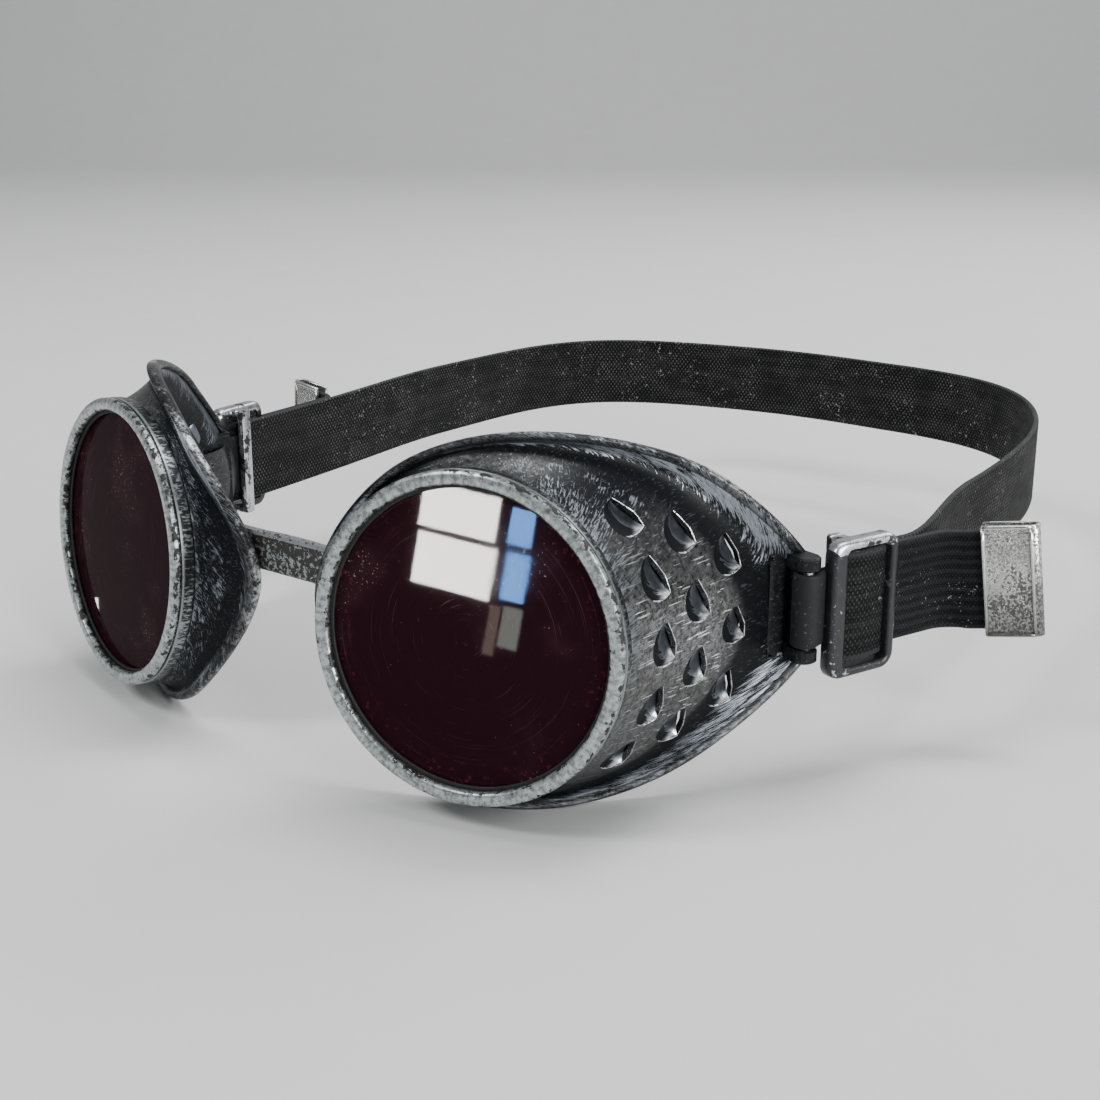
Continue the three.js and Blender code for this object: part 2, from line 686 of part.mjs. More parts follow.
function lensStack(side) {
  const stack = new THREE.Group();
  stack.applyMatrix4(lensPlacement);
  stack.add(node(`${side.name}_lens_ring`, ringGeometry(), ringSilver()));
  stack.add(node(`${side.name}_front_gasket`, washer(FRONT_GASKET), blackRubber()));
  stack.add(node(`${side.name}_cover_lens`, disc(COVER_LENS), clearCover()));
  stack.add(node(`${side.name}_filter_lens`, disc(FILTER_LENS), darkGlass()));
  stack.add(node(`${side.name}_rear_gasket`, washer(REAR_GASKET), blackRubber()));
  stack.add(node(`${side.name}_vent_baffle`, baffleGeometry(), blackSheet()));
  return stack;
}

function pinGeometry() {
  return post(PIN.radius, PIN.bottom, PIN.top).translate(PIN.x, PIN.y, STRAP_Z);
}

function temple(side) {
  const group = new THREE.Group();
  group.scale.x = side.sign;
  group.add(node(`${side.name}_eye_cup`, cupGeometry(), cupPaint()));
  group.add(lensStack(side));
  group.add(node(`${side.name}_strap_pin`, pinGeometry(), bareSteel()));
  group.add(node(`${side.name}_strap_loop`, loopGeometry(side), smoothBand()));
  group.add(sliderNode(side));
  group.add(node(`${side.name}_strap_return`, returnLayer(side), webbing()));
  group.add(node(`${side.name}_strap_tail`, tailGeometry(side), webbing()));
  group.add(clipNode(side));
  group.add(node(`${side.name}_bridge_rivet`, rivetGeometry(), bareSteel()));
  return group;
}

const goggles = new THREE.Group();
goggles.position.set(0, -BRIDGE_FRONT, -BRIDGE_CENTRE_Z);
for (const side of SIDES) {
  goggles.add(temple(side));
}
goggles.add(node('bridge', bridgeGeometry(), cupPaint()));
goggles.add(node('head_strap', strapGeometry(), webbing()));

export default goggles;
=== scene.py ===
"""Welding goggles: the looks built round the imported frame.

Shapes are written in millimetres in the design's own frame: X to the wearer's left, Y back, Z up, from the
point midway between the two lens rings. Piece.make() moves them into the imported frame, in metres. The left
side is built, and the right side is its mirror image with its own strap ends.
"""

import math

import bmesh
import bpy
import numpy as np
from mathutils import Matrix, Vector


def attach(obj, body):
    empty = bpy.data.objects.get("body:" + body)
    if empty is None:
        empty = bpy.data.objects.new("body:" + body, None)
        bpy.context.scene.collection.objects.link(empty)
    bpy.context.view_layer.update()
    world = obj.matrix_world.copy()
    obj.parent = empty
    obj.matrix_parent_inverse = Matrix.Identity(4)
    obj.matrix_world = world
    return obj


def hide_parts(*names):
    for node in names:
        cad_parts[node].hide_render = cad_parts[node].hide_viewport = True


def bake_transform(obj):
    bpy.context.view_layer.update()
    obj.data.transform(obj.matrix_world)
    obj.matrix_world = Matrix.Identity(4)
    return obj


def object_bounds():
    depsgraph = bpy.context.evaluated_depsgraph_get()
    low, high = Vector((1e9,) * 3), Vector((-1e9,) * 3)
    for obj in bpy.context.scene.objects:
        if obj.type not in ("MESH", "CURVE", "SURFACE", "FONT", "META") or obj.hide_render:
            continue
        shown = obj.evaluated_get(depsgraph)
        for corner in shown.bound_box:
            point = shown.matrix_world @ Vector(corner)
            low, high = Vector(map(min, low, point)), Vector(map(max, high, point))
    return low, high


MM = 0.001
TURN = 2 * math.pi
TO_ROW = np.array([0.0, -5.5, -4.0])

# ---- the design's driving sizes ----
LENS_HALF_SPACING = 45.2
TOE_OUT = math.radians(14.3)
LIFT = math.radians(4.25)
RING_RADIUS = 28.0
RING_OPENING = 25.5
RING_DEPTH = 4.2
RING_SKIRT = 26.85
NECK_RADIUS = 26.55
NECK_BORE = 26.0
LEDGE_BORE = 24.0
LEDGE = (6.8, 7.9)
LENS_RADIUS = 25.7
GASKET_BORE = 24.95
COVER_FRONT = 1.9
SHOULDER_RADIUS = 27.2
SHOULDER_DEPTH = 4.6
WALL_WAIST = 0.7
FOOT_REACH = 0.6
FOOT_DEPTH = 0.85
FILLET_START = 0.72
BEAD_RADIUS = 1.4
BEAD_BITE = 0.65
CUP_SHEET = 1.1
RIM_OUTLINE = np.array([
    (47.5, 0), (33, 25.5), (7.5, 33.5), (-18, 25), (-35.5, 0), (-19, -26.5), (7.5, -32), (31, -23.5),
])
VENT_SIDE = 66
VENT_HEIGHT = 8.0
VENT_WIDTH = 6.2
VENT_PITCH = math.radians(22.6)
VENT_CENTRE = math.radians(0.6)
VENT_LEAN = 1.3
VENT_COLUMNS = ((14, 5), (22.8, 4), (31.6, 3))
VENT_PRESS = 1.5
WALL_POINTS = 84
FILLET_POINTS = 30
NOTCH_HALF = 8.6
NOTCH_FRONT = -3.6
NOTCH_BACK = 9
NOTCH_REACH = (-5, 12)
RECESS_DEPTH = 1.9
LUG_TOP = 9.6
LUG_FOOT = 7.1
LUG_ROOT = np.array([75.2, 53.2])
# The lug plates take this mark, which lies in the cup paint's trough, so they carry its painted shade.
LUG_MARK = (0.1, 0.9)
BACK_PLATE = np.array([
    (73.3, 48.4), (74.2, 50.2), (74.3, 52.0), (73.9, 54.2), (72.8, 54.0), (73.1, 52.0), (73.0, 50.4),
    (72.5, 48.8),
])
BRIDGE_FRONT = 5.5
BRIDGE_Z = 4.0
BRIDGE_HEIGHT = 7.4
BRIDGE_SHEET = 2.0
BRIDGE_HALF = 16.2
RIVET_OFFSET = 13.2
STRAP_Z = -1.2
PIN = np.array([78.5, 52.0])
PIN_RADIUS = 1.2
WEB_WIDTH = 18.8
WEB_SHEET = 1.3
LAYER = 0.8
SEAM_OUTER = -6.2
SEAM_INNER = -2.4
STRAIGHT_END = 12.75
SLIDER_FACE = 3.45
CLIP_SHEET = 0.65
CLIP_HALF = 10.4
CLIP_MOUTH = -8.6
CLIP_OUTSIDE = 1.6
CHEEK = np.array([79.0, 115.0])
BACK = np.array([5.0, 221.0])
BULGE = np.array([-88.5, 158.0])
SIDES = {
    "left": dict(sign=1, reach=11.0, heading=17.6, sag=0.7, tail=(5.4, 55, 7.0, 12.0, 7)),
    "right": dict(sign=-1, reach=12.5, heading=8.0, sag=-0.5, tail=(18.5, 75, 4.5, 10.5, 5)),
}

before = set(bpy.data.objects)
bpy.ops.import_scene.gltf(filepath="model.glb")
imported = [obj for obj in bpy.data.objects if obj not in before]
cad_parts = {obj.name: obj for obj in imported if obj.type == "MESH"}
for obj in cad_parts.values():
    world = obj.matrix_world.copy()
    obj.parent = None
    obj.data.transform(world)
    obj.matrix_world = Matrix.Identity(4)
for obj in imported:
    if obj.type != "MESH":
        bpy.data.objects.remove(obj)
cad_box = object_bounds()


# ---- shape tools ----
def smoothstep(value, low, high):
    t = np.clip((np.asarray(value, float) - low) / (high - low), 0, 1)
    return t * t * (3 - 2 * t)


def unit(vectors):
    """Vectors scaled to a length of 1."""
    return vectors / np.linalg.norm(vectors, axis=-1, keepdims=True)


def moved(points, matrix):
    return points @ matrix[:3, :3].T + matrix[:3, 3]


def lengths_along(path):
    """How far along a line each of its points is."""
    return np.concatenate([[0], np.cumsum(np.linalg.norm(np.diff(path, axis=0), axis=1))])


def new_object(name, data):
    made = bpy.data.objects.new(name, data)
    bpy.context.scene.collection.objects.link(made)
    return made


def bezier(points, count):
    """Points along a quadratic or cubic curve."""
    t = np.linspace(0, 1, count)[:, None]
    layer = [np.broadcast_to(np.asarray(p, float), (count, len(points[0]))) for p in points]
    while len(layer) > 1:
        layer = [a * (1 - t) + b * t for a, b in zip(layer, layer[1:])]
    return layer[0]


def resampled(path, gap):
    """The same line with points an equal gap apart."""
    path = np.asarray(path, float)
    lengths = lengths_along(path)
    at = np.linspace(0, lengths[-1], max(2, int(lengths[-1] / gap) + 1))
    return np.stack([np.interp(at, lengths, column) for column in path.T], axis=1)


def arc(centre, radius, start, end, count):
    angles = np.radians(np.linspace(start, end, count))
    return np.asarray(centre) + radius * np.stack([np.cos(angles), np.sin(angles)], axis=1)


class Piece:
    """Islands of faces that become one object."""

    def __init__(self):
        self.points = []
        self.faces = []
        self.marks = []
        self.slots = []
        self.count = 0

    def add(self, points, faces, marks, slot=0):
        self.points.append(np.asarray(points, float).reshape(-1, 3))
        self.faces += [[self.count + k for k in face] for face in faces]
        self.marks += marks
        self.slots += [slot] * len(faces)
        self.count += len(self.points[-1])

    def grid(self, points, u, v, wrap_u=False, wrap_v=False, slot=0, flip=False, gone=None):
        """A sheet of quads, without those that are gone. u marks the rows of points, v the columns."""
        rows, columns = points.shape[:2]
        faces, marks = [], []
        for i in range(rows if wrap_u else rows - 1):
            for j in range(columns if wrap_v else columns - 1):
                if gone is not None and gone[i, j]:
                    continue
                corners = [(i, j), (i + 1, j), (i + 1, j + 1), (i, j + 1)]
                if flip:
                    corners.reverse()
                faces.append([(a % rows) * columns + b % columns for a, b in corners])
                marks.append([(u[a], v[b]) for a, b in corners])
        self.add(points, faces, marks, slot)

    def cap(self, ring, mark, slot=0, flip=False):
        order = list(range(len(ring)))
        if flip:
            order.reverse()
        self.add(ring, [order], [[mark] * len(ring)], slot)

    def rod(self, rings, u, v, ends=((0, 0), (0, 0)), slot=0, flip=False):
        """Closed rings joined in a row and capped. ends holds the marks of the two caps."""
        rings = np.stack(rings)
        self.grid(rings, u, v, wrap_v=True, slot=slot, flip=flip)
        self.cap(rings[0], ends[0], slot, flip=True)
        self.cap(rings[-1], ends[1], slot)

    def make(self, name, looks, sign=1, smooth=40):
        """One object in the row frame, mirrored for the right side."""
        points = np.concatenate(self.points) * (sign, 1, 1) + TO_ROW
        mesh = bpy.data.meshes.new(name)
        mesh.from_pydata((points * MM).tolist(), [], [face[::sign] for face in self.faces])
        surface = mesh.uv_layers.new(name="surface")
        marks = [m for mark in self.marks for m in mark[::sign]]
        surface.data.foreach_set("uv", np.array(marks, np.float32).ravel())
        for look in looks:
            mesh.materials.append(LOOKS[look])
        mesh.polygons.foreach_set("material_index", self.slots)
        mesh.update()
        mesh.shade_smooth()
        mesh.set_sharp_from_angle(angle=math.radians(smooth))
        return new_object(name, mesh)


def turned(profile, matrix, steps=160):
    """A profile of (radius, depth, mark) turned round the Y axis and placed by a matrix."""
    piece = Piece()
    profile = np.asarray(profile, float)
    angles = np.linspace(0, TURN, steps, endpoint=False)
    ring = np.stack([np.cos(angles), np.zeros(steps), np.sin(angles)], axis=1)
    points = ring[:, None, :] * profile[None, :, :1] + np.array([0, 1, 0]) * profile[None, :, 1:2]
    piece.grid(moved(points, matrix), np.linspace(0, 1, steps + 1), profile[:, 2], wrap_u=True)
    return piece


def lens_matrix():
    turn = Matrix.Rotation(TOE_OUT, 4, "Z") @ Matrix.Rotation(-LIFT, 4, "X")
    return np.array(Matrix.Translation((LENS_HALF_SPACING, 0, 0)) @ turn)


LENS = lens_matrix()


# ---- materials ----
class Value:
    """A number, colour or vector in a material's nodes. Sums and products of values add Math nodes."""

    def __init__(self, look, socket):
        self.look = look
        self.socket = socket

    def __add__(self, other):
        return self.look.math("ADD", self, other)

    def __sub__(self, other):
        return self.look.math("ADD", self, -other)

    def __mul__(self, other):
        return self.look.math("MULTIPLY", self, other)


LOOKS = {}


class Look:
    """A procedural material, kept in LOOKS. Lengths in its textures are metres."""

    def __init__(self, name, **fixed):
        LOOKS[name] = bpy.data.materials.new(name)
        LOOKS[name].use_nodes = True
        self.tree = LOOKS[name].node_tree
        for socket, value in fixed.items():
            self.set(socket.replace("_", " "), value)

    def set(self, socket, value):
        self.feed(self.tree.nodes["Principled BSDF"].inputs[socket], value)

    def feed(self, socket, value):
        if isinstance(value, Value):
            self.tree.links.new(value.socket, socket)
        elif isinstance(value, tuple) and len(value) == 3 and len(socket.default_value) == 4:
            socket.default_value = (*value, 1)
        else:
            socket.default_value = value

    def node(self, kind, output=0, inputs=(), **settings):
        made = self.tree.nodes.new("ShaderNode" + kind)
        for key, value in settings.items():
            setattr(made, key, value)
        for key, value in dict(inputs).items():
            self.feed(made.inputs[key], value)
        return Value(self, made.outputs[output])

    def math(self, operation, a, b=0.0):
        return self.node("Math", inputs={0: a, 1: b}, operation=operation)

    def place(self):
        return self.node("TexCoord", output="Object")

    def split(self, vector):
        """A vector's three numbers."""
        x = self.node("SeparateXYZ", inputs={0: vector})
        return [Value(self, output) for output in x.socket.node.outputs]

    def surface(self):
        """The two marks that the mesh carries."""
        return self.split(self.node("UVMap", uv_map="surface"))[:2]


def most(*values):
    top = values[0]
    for value in values[1:]:
        top = top.look.math("MAXIMUM", top, value)
    return top


def step(value, low, high, bottom=0.0, top=1.0):
    """Goes smoothly from bottom at low to top at high; low may be above high."""
    if low > high:
        low, high, bottom, top = high, low, top, bottom
    inputs = {"Value": value, "From Min": low, "From Max": high, "To Min": bottom, "To Max": top}
    return value.look.node("MapRange", inputs=inputs, interpolation_type="SMOOTHSTEP")


def wave(value, period):
    """A cosine along a value, from -1 to 1."""
    return value.look.math("COSINE", value * (TURN / period))


def mix(share, a, b):
    """A colour between two."""
    return share.look.node("Mix", output=2, inputs={0: share, 6: a, 7: b}, data_type="RGBA")


def blend(share, a, b):
    """A number between two."""
    return share.look.node("Mix", inputs={0: share, 2: a, 3: b}, data_type="FLOAT")


def point(x, y, z=0.0):
    return x.look.node("CombineXYZ", inputs={0: x, 1: y, 2: z})


def scaled(vector, factors, turn=(0, 0, 0)):
    turned_by = tuple(math.radians(a) for a in turn)
    return vector.look.node("Mapping", inputs={"Vector": vector, "Rotation": turned_by, "Scale": factors})


def noise(vector, scale=1.0, detail=4.0, roughness=0.55, lump=0.0):
    inputs = {"Vector": vector, "Scale": scale, "Detail": detail, "Roughness": roughness, "Distortion": lump}
    return vector.look.node("TexNoise", inputs=inputs)


def bump(height, strength, distance):
    return height.look.node("Bump", inputs={"Height": height, "Strength": strength, "Distance": distance})


def scratches(look, scale=1.0, amount=0.7, directions=((20, 35, 60), (70, -25, -40))):
    """Fine straight scratches in a few directions, 1 on a scratch."""
    marks = []
    for turn in directions:
        vector = scaled(look.place(), (2600 * scale, 90 * scale, 2600 * scale), turn)
        marks.append(step(noise(vector, detail=2), amount, amount + 0.04))
    return most(*marks)


def cup_look():
    """Black paint dry-brushed with silver from every edge, worn to grey metal on the temple side, with
    painted shade in the trough and under the flange and a painted highlight along the bead's crest.

    u is the share of a turn round the lens. v is 0 to 1 up the wall, to 2 over the flange, to 3
    on the bead."""
    look = Look("cup_paint")
    u, v = look.surface()
    place = look.place()
    sheared = u * 430 + v * -22
    long_place = point(sheared * 1.5, v * 4.2)
    long_streaks = noise(long_place, detail=7, roughness=0.68, lump=0.25)
    short = point(sheared * 1.3, v * 9.0, 5.0)
    short_streaks = noise(short, detail=7, roughness=0.66, lump=0.3)
    streaks = blend(step(v, 0.95, 1.15), short_streaks, long_streaks)
    hairs = noise(point(sheared * 2.1, v * 5.0, 7.0), detail=3)
    broad = noise(point(sheared * 0.13, v * 2.6, 3.0), detail=4, lump=0.3)
    patches = noise(place, 70, detail=3)
    flange = step(v, 1.0, 1.75) * step(v, 2.25, 1.98, 0.05, 1.0)
    bead = step(v, 1.93, 2.05) * step(v, 2.9, 2.6)
    # Fewer silver strokes where the wall turns into the flange: partly dry-brush wear, partly painted shade
    # in that corner.
    shaded_trough = step(v, 0.72, 0.88) * step(v, 1.35, 1.05)
    shoulder = step(v, 0.16, 0.0)
    # Fewer silver strokes on the lower flange: painted shade on its underside.
    shaded_underside = flange * most(step(u, -0.02, -0.06), step(u, 0.68, 0.72))
    around = step(u, -0.19, -0.1) * step(u, 0.15, 0.03)
    top_side = step(u, 0.17, 0.24) * step(u, 0.34, 0.27)
    low_side = step(u, 0.66, 0.74) * step(u, 0.82, 0.78)
    around = most(around, most(top_side, low_side) * 0.55)
    below = step(v, 0.95, 0.8) * step(v, 0.0, 0.1)
    bias = (
        flange * 0.12 + shoulder * 0.07 + shaded_trough * -0.16 + (patches - 0.5) * 0.2 + (broad - 0.5) * 0.48
        + shaded_underside * -0.07 - 0.022
    )
    silver = step(streaks + bias, 0.53, 0.575)
    hair = step(hairs, 0.62, 0.7) * step(v, 1.2, 0.8)
    worn = around * below * step(patches + streaks, 0.62, 0.95, 0.55, 1.0)
    scratch = scratches(look, 0.9, 0.66, ((10, 30, 62), (65, -25, -40), (25, 80, 15)))
    pits = step(noise(place, 2400, detail=3), 0.63, 0.7)
    fine = noise(place, 1100, detail=6, roughness=0.7)
    paint = mix(fine, (0.0018, 0.0022, 0.0028), (0.0085, 0.0102, 0.0134))
    bare = mix(step(fine, 0.3, 0.7), (0.026, 0.027, 0.027), (0.18, 0.18, 0.177))
    stroke = mix(fine, (0.075, 0.088, 0.104), (0.3, 0.325, 0.355))
    # A bright line along the bead's crest: worn bare metal and a painted highlight.
    worn_crest_highlight = step(v, 2.28, 2.38) * step(v, 2.6, 2.5)
    worn_crest_highlight = worn_crest_highlight * step(patches + fine, 0.95, 1.15)
    bright = mix(most(scratch * worn, worn_crest_highlight), stroke, (0.66, 0.68, 0.69))
    metal = most(worn, bead * step(patches + fine, 0.85, 1.2, 0.12, 0.75))
    base = mix(metal, paint, bare)
    strokes = most(silver * step(worn, 1.0, 0.0, 0.4, 1.0), hair * 0.5)
    cut = most(strokes, scratch * (worn * 0.8 + 0.2), worn_crest_highlight * 0.9)
    look.set("Base Color", mix(pits * 0.5, mix(cut, base, bright), (0.01, 0.01, 0.011)))
    look.set("Metallic", blend(most(cut, metal), 0.0, 0.95))
    look.set("Specular IOR Level", blend(metal, 0.08, 0.5))
    rough = blend(cut, blend(metal, 0.36, 0.27), 0.38)
    look.set("Roughness", rough + (fine - 0.5) * 0.25)
    height = silver * -0.4 + pits * -0.4 + scratch * -0.3 + fine * 0.45 + streaks * 0.5
    look.set("Normal", bump(height, 0.4, 0.00012))


def pocket_look():
    """Blue-grey paint in the vents, with black streaks that gather into painted shade on the curved side,
    and a painted highlight near the bottom. u is 0 to 1 across a pocket, v down it.
    """
    look = Look("pocket_paint")
    u, v = look.surface()
    place = look.place()
    slanted = v * 4.5 + u * -3.0 + noise(place, 40) * 30
    streaks = noise(point(u * 0.8, slanted), detail=3, roughness=0.6)
    # Black streaks, gathered towards the curved side: partly streaked paint, partly painted shade on that
    # side of the pocket.
    dark = step(streaks + u * 0.7, 0.9, 0.82)
    fine = noise(place, 1100, detail=5)
    paint = mix(fine, (0.07, 0.08, 0.096), (0.2, 0.22, 0.25))
    # A near-white band near the bottom of the pocket: a painted highlight.
    low = step(v, 0.7, 0.93) * step(streaks, 0.35, 0.5)
    lit = mix(low, paint, (0.72, 0.74, 0.75))
    look.set("Base Color", mix(dark * step(low, 1.0, 0.0), lit, (0.007, 0.008, 0.01)))
    look.set("Metallic", blend(dark, 0.85, 0.0))
    look.set("Specular IOR Level", blend(dark, 0.5, 0.06))
    look.set("Roughness", blend(dark, 0.22, 0.4) + fine * 0.2)
    look.set("Normal", bump(fine, 0.3, 0.0001))


def ring_look():
    """Pale silver paint, chipped at both edges of the face; its side is dark paint with strokes and a
    painted highlight line. v is 0 to 1 on the face, more on the side.
    """
    look = Look("ring_silver")
    u, v = look.surface()
    place = look.place()
    inner = step(v, 0.2, 0.0)
    outer = step(v, 0.7, 1.0) * step(v, 1.4, 1.15)
    chips = noise(place, 560, detail=8, roughness=0.7, lump=0.2)
    places = noise(place, 120, detail=2)
    bias = most(inner, outer) * 0.15
    chip = step(chips + bias + (places - 0.5) * 0.22, 0.65, 0.67)
    grime = noise(point(u * 170, v * 1.5), detail=6, roughness=0.6)
    scratch = scratches(look, 1.3, 0.66)
    fine = noise(place, 1500, detail=4)
    paint = mix(step(grime, 0.34, 0.62), (0.15, 0.172, 0.172), (0.46, 0.5, 0.5))
    lit = mix(scratch * 0.6, paint, (0.78, 0.81, 0.81))
    face = mix(chip, lit, (0.016, 0.015, 0.014))
    side = step(v, 1.22, 1.27)
    # A thin bright line on the ring's side, behind its groove: a painted highlight.
    shine = step(v, 1.36, 1.4) * step(v, 1.56, 1.48)
    streaks = noise(point(u * 300, v * 3.0), detail=7, roughness=0.62)
    stroke = step(streaks + (places - 0.5) * 0.5, 0.5, 0.58)
    dark = mix(fine, (0.006, 0.007, 0.008), (0.024, 0.026, 0.03))
    brushed = mix(most(stroke, shine), dark, (0.26, 0.28, 0.29))
    look.set("Base Color", mix(side, face, brushed))
    look.set("Metallic", blend(side, blend(chip, 0.65, 0.2), blend(stroke, 0.5, 0.9)))
    look.set("Roughness", blend(chip, 0.31, 0.55) + (fine - 0.5) * 0.25)
    height = chip * -1.0 + scratch * -0.25 + fine * 0.35 + grime * 0.3
    look.set("Normal", bump(height, 0.5, 0.00013))


def cover_look():
    """Opaque glass as dark as the filter behind it, with arc scratches, dust and red specks at its rim.

    v is the share of the way from its middle to its rim."""
    look = Look("cover_glass", IOR=1.05)
    u, v = look.surface()
    place = look.place()
    arcs = step(noise(point(u * 5, v * 150, 3.0), detail=3), 0.64, 0.7)
    cloud = step(noise(place, 60, detail=4), 0.5, 0.66)
    dust = step(noise(place, 2300, detail=3) + cloud * 0.09, 0.735, 0.765)
    rim = step(v, 0.78, 1.0)
    specks = step(noise(place, 1100, detail=3), 0.6, 0.68)
    depth = mix(cloud, (0.0165, 0.005, 0.0082), (0.0245, 0.0088, 0.0128))
    wiped = mix(arcs * 0.6, depth, (0.085, 0.045, 0.056))
    stained = mix(specks * rim * 0.7, wiped, (0.11, 0.014, 0.03))
    look.set("Base Color", mix(dust * 0.75, stained, (0.24, 0.2, 0.185)))
    look.set("Roughness", arcs * 0.06 + dust * 0.4 + cloud * 0.02 + 0.03)


def plain_look(name, scale, dark, light, rough=None, relief=0.0, detail=4, **fixed):
    """One slightly mottled colour, with a fine grain if rough and relief are given."""
    look = Look(name, **fixed)
    fine = noise(look.place(), scale, detail=detail)
    look.set("Base Color", mix(fine, dark, light))
    if rough:
        look.set("Roughness", step(fine, 0.3, 0.7, *rough))
    if relief:
        look.set("Normal", bump(fine, relief, 0.0001))


def steel_look(name, dark, light, roughness):
    """Worn bare or thinly painted metal with pits and scratches."""
    look = Look(name)
    place = look.place()
    fine = noise(place, 700, detail=6)
    scratch = scratches(look, 1.2, 0.66)
    pits = step(noise(place, 1900, detail=2), 0.6, 0.66)
    base = mix(step(fine, 0.35, 0.65), dark, light)
    lit = mix(scratch * 0.6, base, tuple(min(1.0, 1.6 * c + 0.05) for c in light))
    look.set("Base Color", mix(pits * 0.7, lit, (0.02, 0.02, 0.02)))
    look.set("Metallic", blend(pits, 0.9, 0.4))
    look.set("Roughness", (fine - 0.5) * 0.35 + roughness)
    height = pits * -0.8 + scratch * -0.3 + fine * 0.4
    look.set("Normal", bump(height, 0.4, 0.0001))


def bridge_look():
    """Dark paint flaking off in pale crusts."""
    look = Look("bridge_paint")
    _, v = look.surface()
    place = look.place()
    flakes = noise(place, 1150, detail=6, roughness=0.66, lump=0.4)
    band = step(noise(place, 110, detail=2), 0.38, 0.56)
    lip = step(v, 0.9, 0.99)
    chip = step(flakes + band * 0.07 + lip * 0.14, 0.585, 0.61)
    fine = noise(place, 1600, detail=4)
    paint = mix(fine, (0.012, 0.0115, 0.011), (0.042, 0.039, 0.036))
    flake = mix(fine, (0.2, 0.22, 0.23), (0.44, 0.47, 0.48))
    look.set("Base Color", mix(chip, paint, flake))
    look.set("Metallic", blend(chip, 0.35, 0.75))
    look.set("Roughness", fine * 0.25 + 0.3)
    look.set("Normal", bump(chip + fine * 0.4, 0.5, 0.00015))


def slider_look():
    """Bluish dark paint rubbed bright on its raised edges. v is 1 on an edge."""
    look = Look("slider_steel")
    u, v = look.surface()
    place = look.place()
    fine = noise(place, 800, detail=6)
    rub = noise(place, 260, detail=6, roughness=0.65)
    edge = step(rub + v * 0.055 + u * 0.22, 0.64, 0.69)
    scratch = scratches(look, 1.1, 0.7)
    paint = mix(fine, (0.007, 0.0085, 0.0105), (0.025, 0.029, 0.034))
    bright = mix(fine, (0.34, 0.36, 0.38), (0.72, 0.74, 0.76))
    look.set("Base Color", mix(most(edge, scratch * 0.35), paint, bright))
    look.set("Metallic", blend(edge, 0.25, 0.95))
    look.set("Roughness", (fine - 0.5) * 0.25 + blend(edge, 0.38, 0.28))
    height = edge * -0.6 + fine * 0.5 + scratch * -0.3
    look.set("Normal", bump(height, 0.35, 0.0001))


def clip_look():
    """Bright plated sheet, darker towards the bottom with painted shade, and peppered with dark pits that
    thicken downwards. v is 1 on the raised border.
    """
    look = Look("clip_silver")
    _, v = look.surface()
    place = look.place()
    # 1 towards the bottom of the clip: it paints shade over the lower plating and thickens the pits there.
    low = step(look.split(place)[2], 0.006, -0.014)
    fine = noise(place, 1500, detail=5)
    pits = noise(place, 2100, detail=6, roughness=0.75)
    stain = noise(place, 160, detail=4)
    thick = (stain - 0.5) * 0.3 + low * 0.05 + v * -0.12
    pit = step(pits + thick, 0.505, 0.575)
    clean = mix(fine, (0.32, 0.33, 0.32), (0.82, 0.82, 0.8))
    shaded = mix(low * 0.7, clean, (0.1, 0.1, 0.098))
    look.set("Base Color", mix(pit * 0.85, shaded, (0.035, 0.035, 0.033)))
    look.set("Metallic", blend(pit, 0.95, 0.5))
    look.set("Roughness", blend(pit, 0.27, 0.55))
    look.set("Normal", bump(pit * -1.0, 0.5, 0.00012))


def webbing_look(name, ribs):
    """Woven tape: staggered dashes, selvedges, wider ribs where the tape is stretched, lint, and wrinkles
    lightened with painted light.

    u is the length along the tape and v the place across it, in millimetres."""
    look = Look(name, Sheen_Weight=0.03, Sheen_Roughness=0.5, Specular_IOR_Level=0.12)
    u, v = look.surface()
    place = look.place()
    wobble = (noise(place, 500, detail=2) - 0.5) * 0.5
    along = u + wobble
    across = v + wobble
    size = 1.0 - 0.35 * ribs
    dash = step(wave(along, 1.1 * size) * wave(across, 1.5 * size), 0.05, 0.85)
    rib = step(wave(across, 1.75), -0.6, 0.9) * ribs
    selvedge = step(look.math("ABSOLUTE", v), 8.9, 9.3)
    worn = noise(place, 130, detail=5)
    fibres = noise(place, 3800, detail=3)
    dusty_parts = step(noise(place, 75, detail=3), 0.47, 0.58)
    lint = step(noise(place, 1300, detail=2, lump=1.5), 0.665, 0.7) * dusty_parts
    # Raised wrinkles, lighter in colour: painted light on the wrinkles, besides their bump.
    lit_crease = step(noise(scaled(place, (70, 70, 420), (35, 0, 20)), detail=4), 0.4, 0.6)
    thread = dash * step(worn, 0.35, 0.65, 0.4, 1.0)
    share = thread * (0.85 - 0.45 * ribs) + rib * 0.28 + lit_crease * 0.1 - 0.05
    weave = (0.115 - 0.075 * ribs, 0.116 - 0.071 * ribs, 0.113 - 0.062 * ribs)
    cloth = mix(share, (0.0028, 0.0031, 0.0034), weave)
    dusty = mix(step(fibres, 0.55, 0.75) * 0.25, cloth, (0.08, 0.084, 0.084))
    edged = mix(selvedge * 0.5, dusty, (0.08, 0.087, 0.087))
    look.set("Base Color", mix(lint, edged, (0.38, 0.38, 0.36)))
    look.set("Roughness", step(fibres, 0.3, 0.7, 0.78, 0.95))
    height = dash + rib * 1.2 + fibres * 0.5 + lit_crease
    look.set("Normal", bump(height, 0.7, 0.0003))


def band_look():
    """Smooth tight tape."""
    look = Look("smooth_band", Sheen_Weight=0.04, Specular_IOR_Level=0.2)
    place = look.place()
    fine = noise(scaled(place, (900, 900, 3500)), detail=4)
    spots = step(noise(place, 1300, detail=2), 0.66, 0.72)
    base = mix(fine, (0.006, 0.0072, 0.008), (0.017, 0.02, 0.022))
    look.set("Base Color", mix(spots * 0.4, base, (0.18, 0.19, 0.19)))
    look.set("Roughness", step(fine, 0.3, 0.7, 0.55, 0.75))
    look.set("Normal", bump(fine, 0.35, 0.0001))


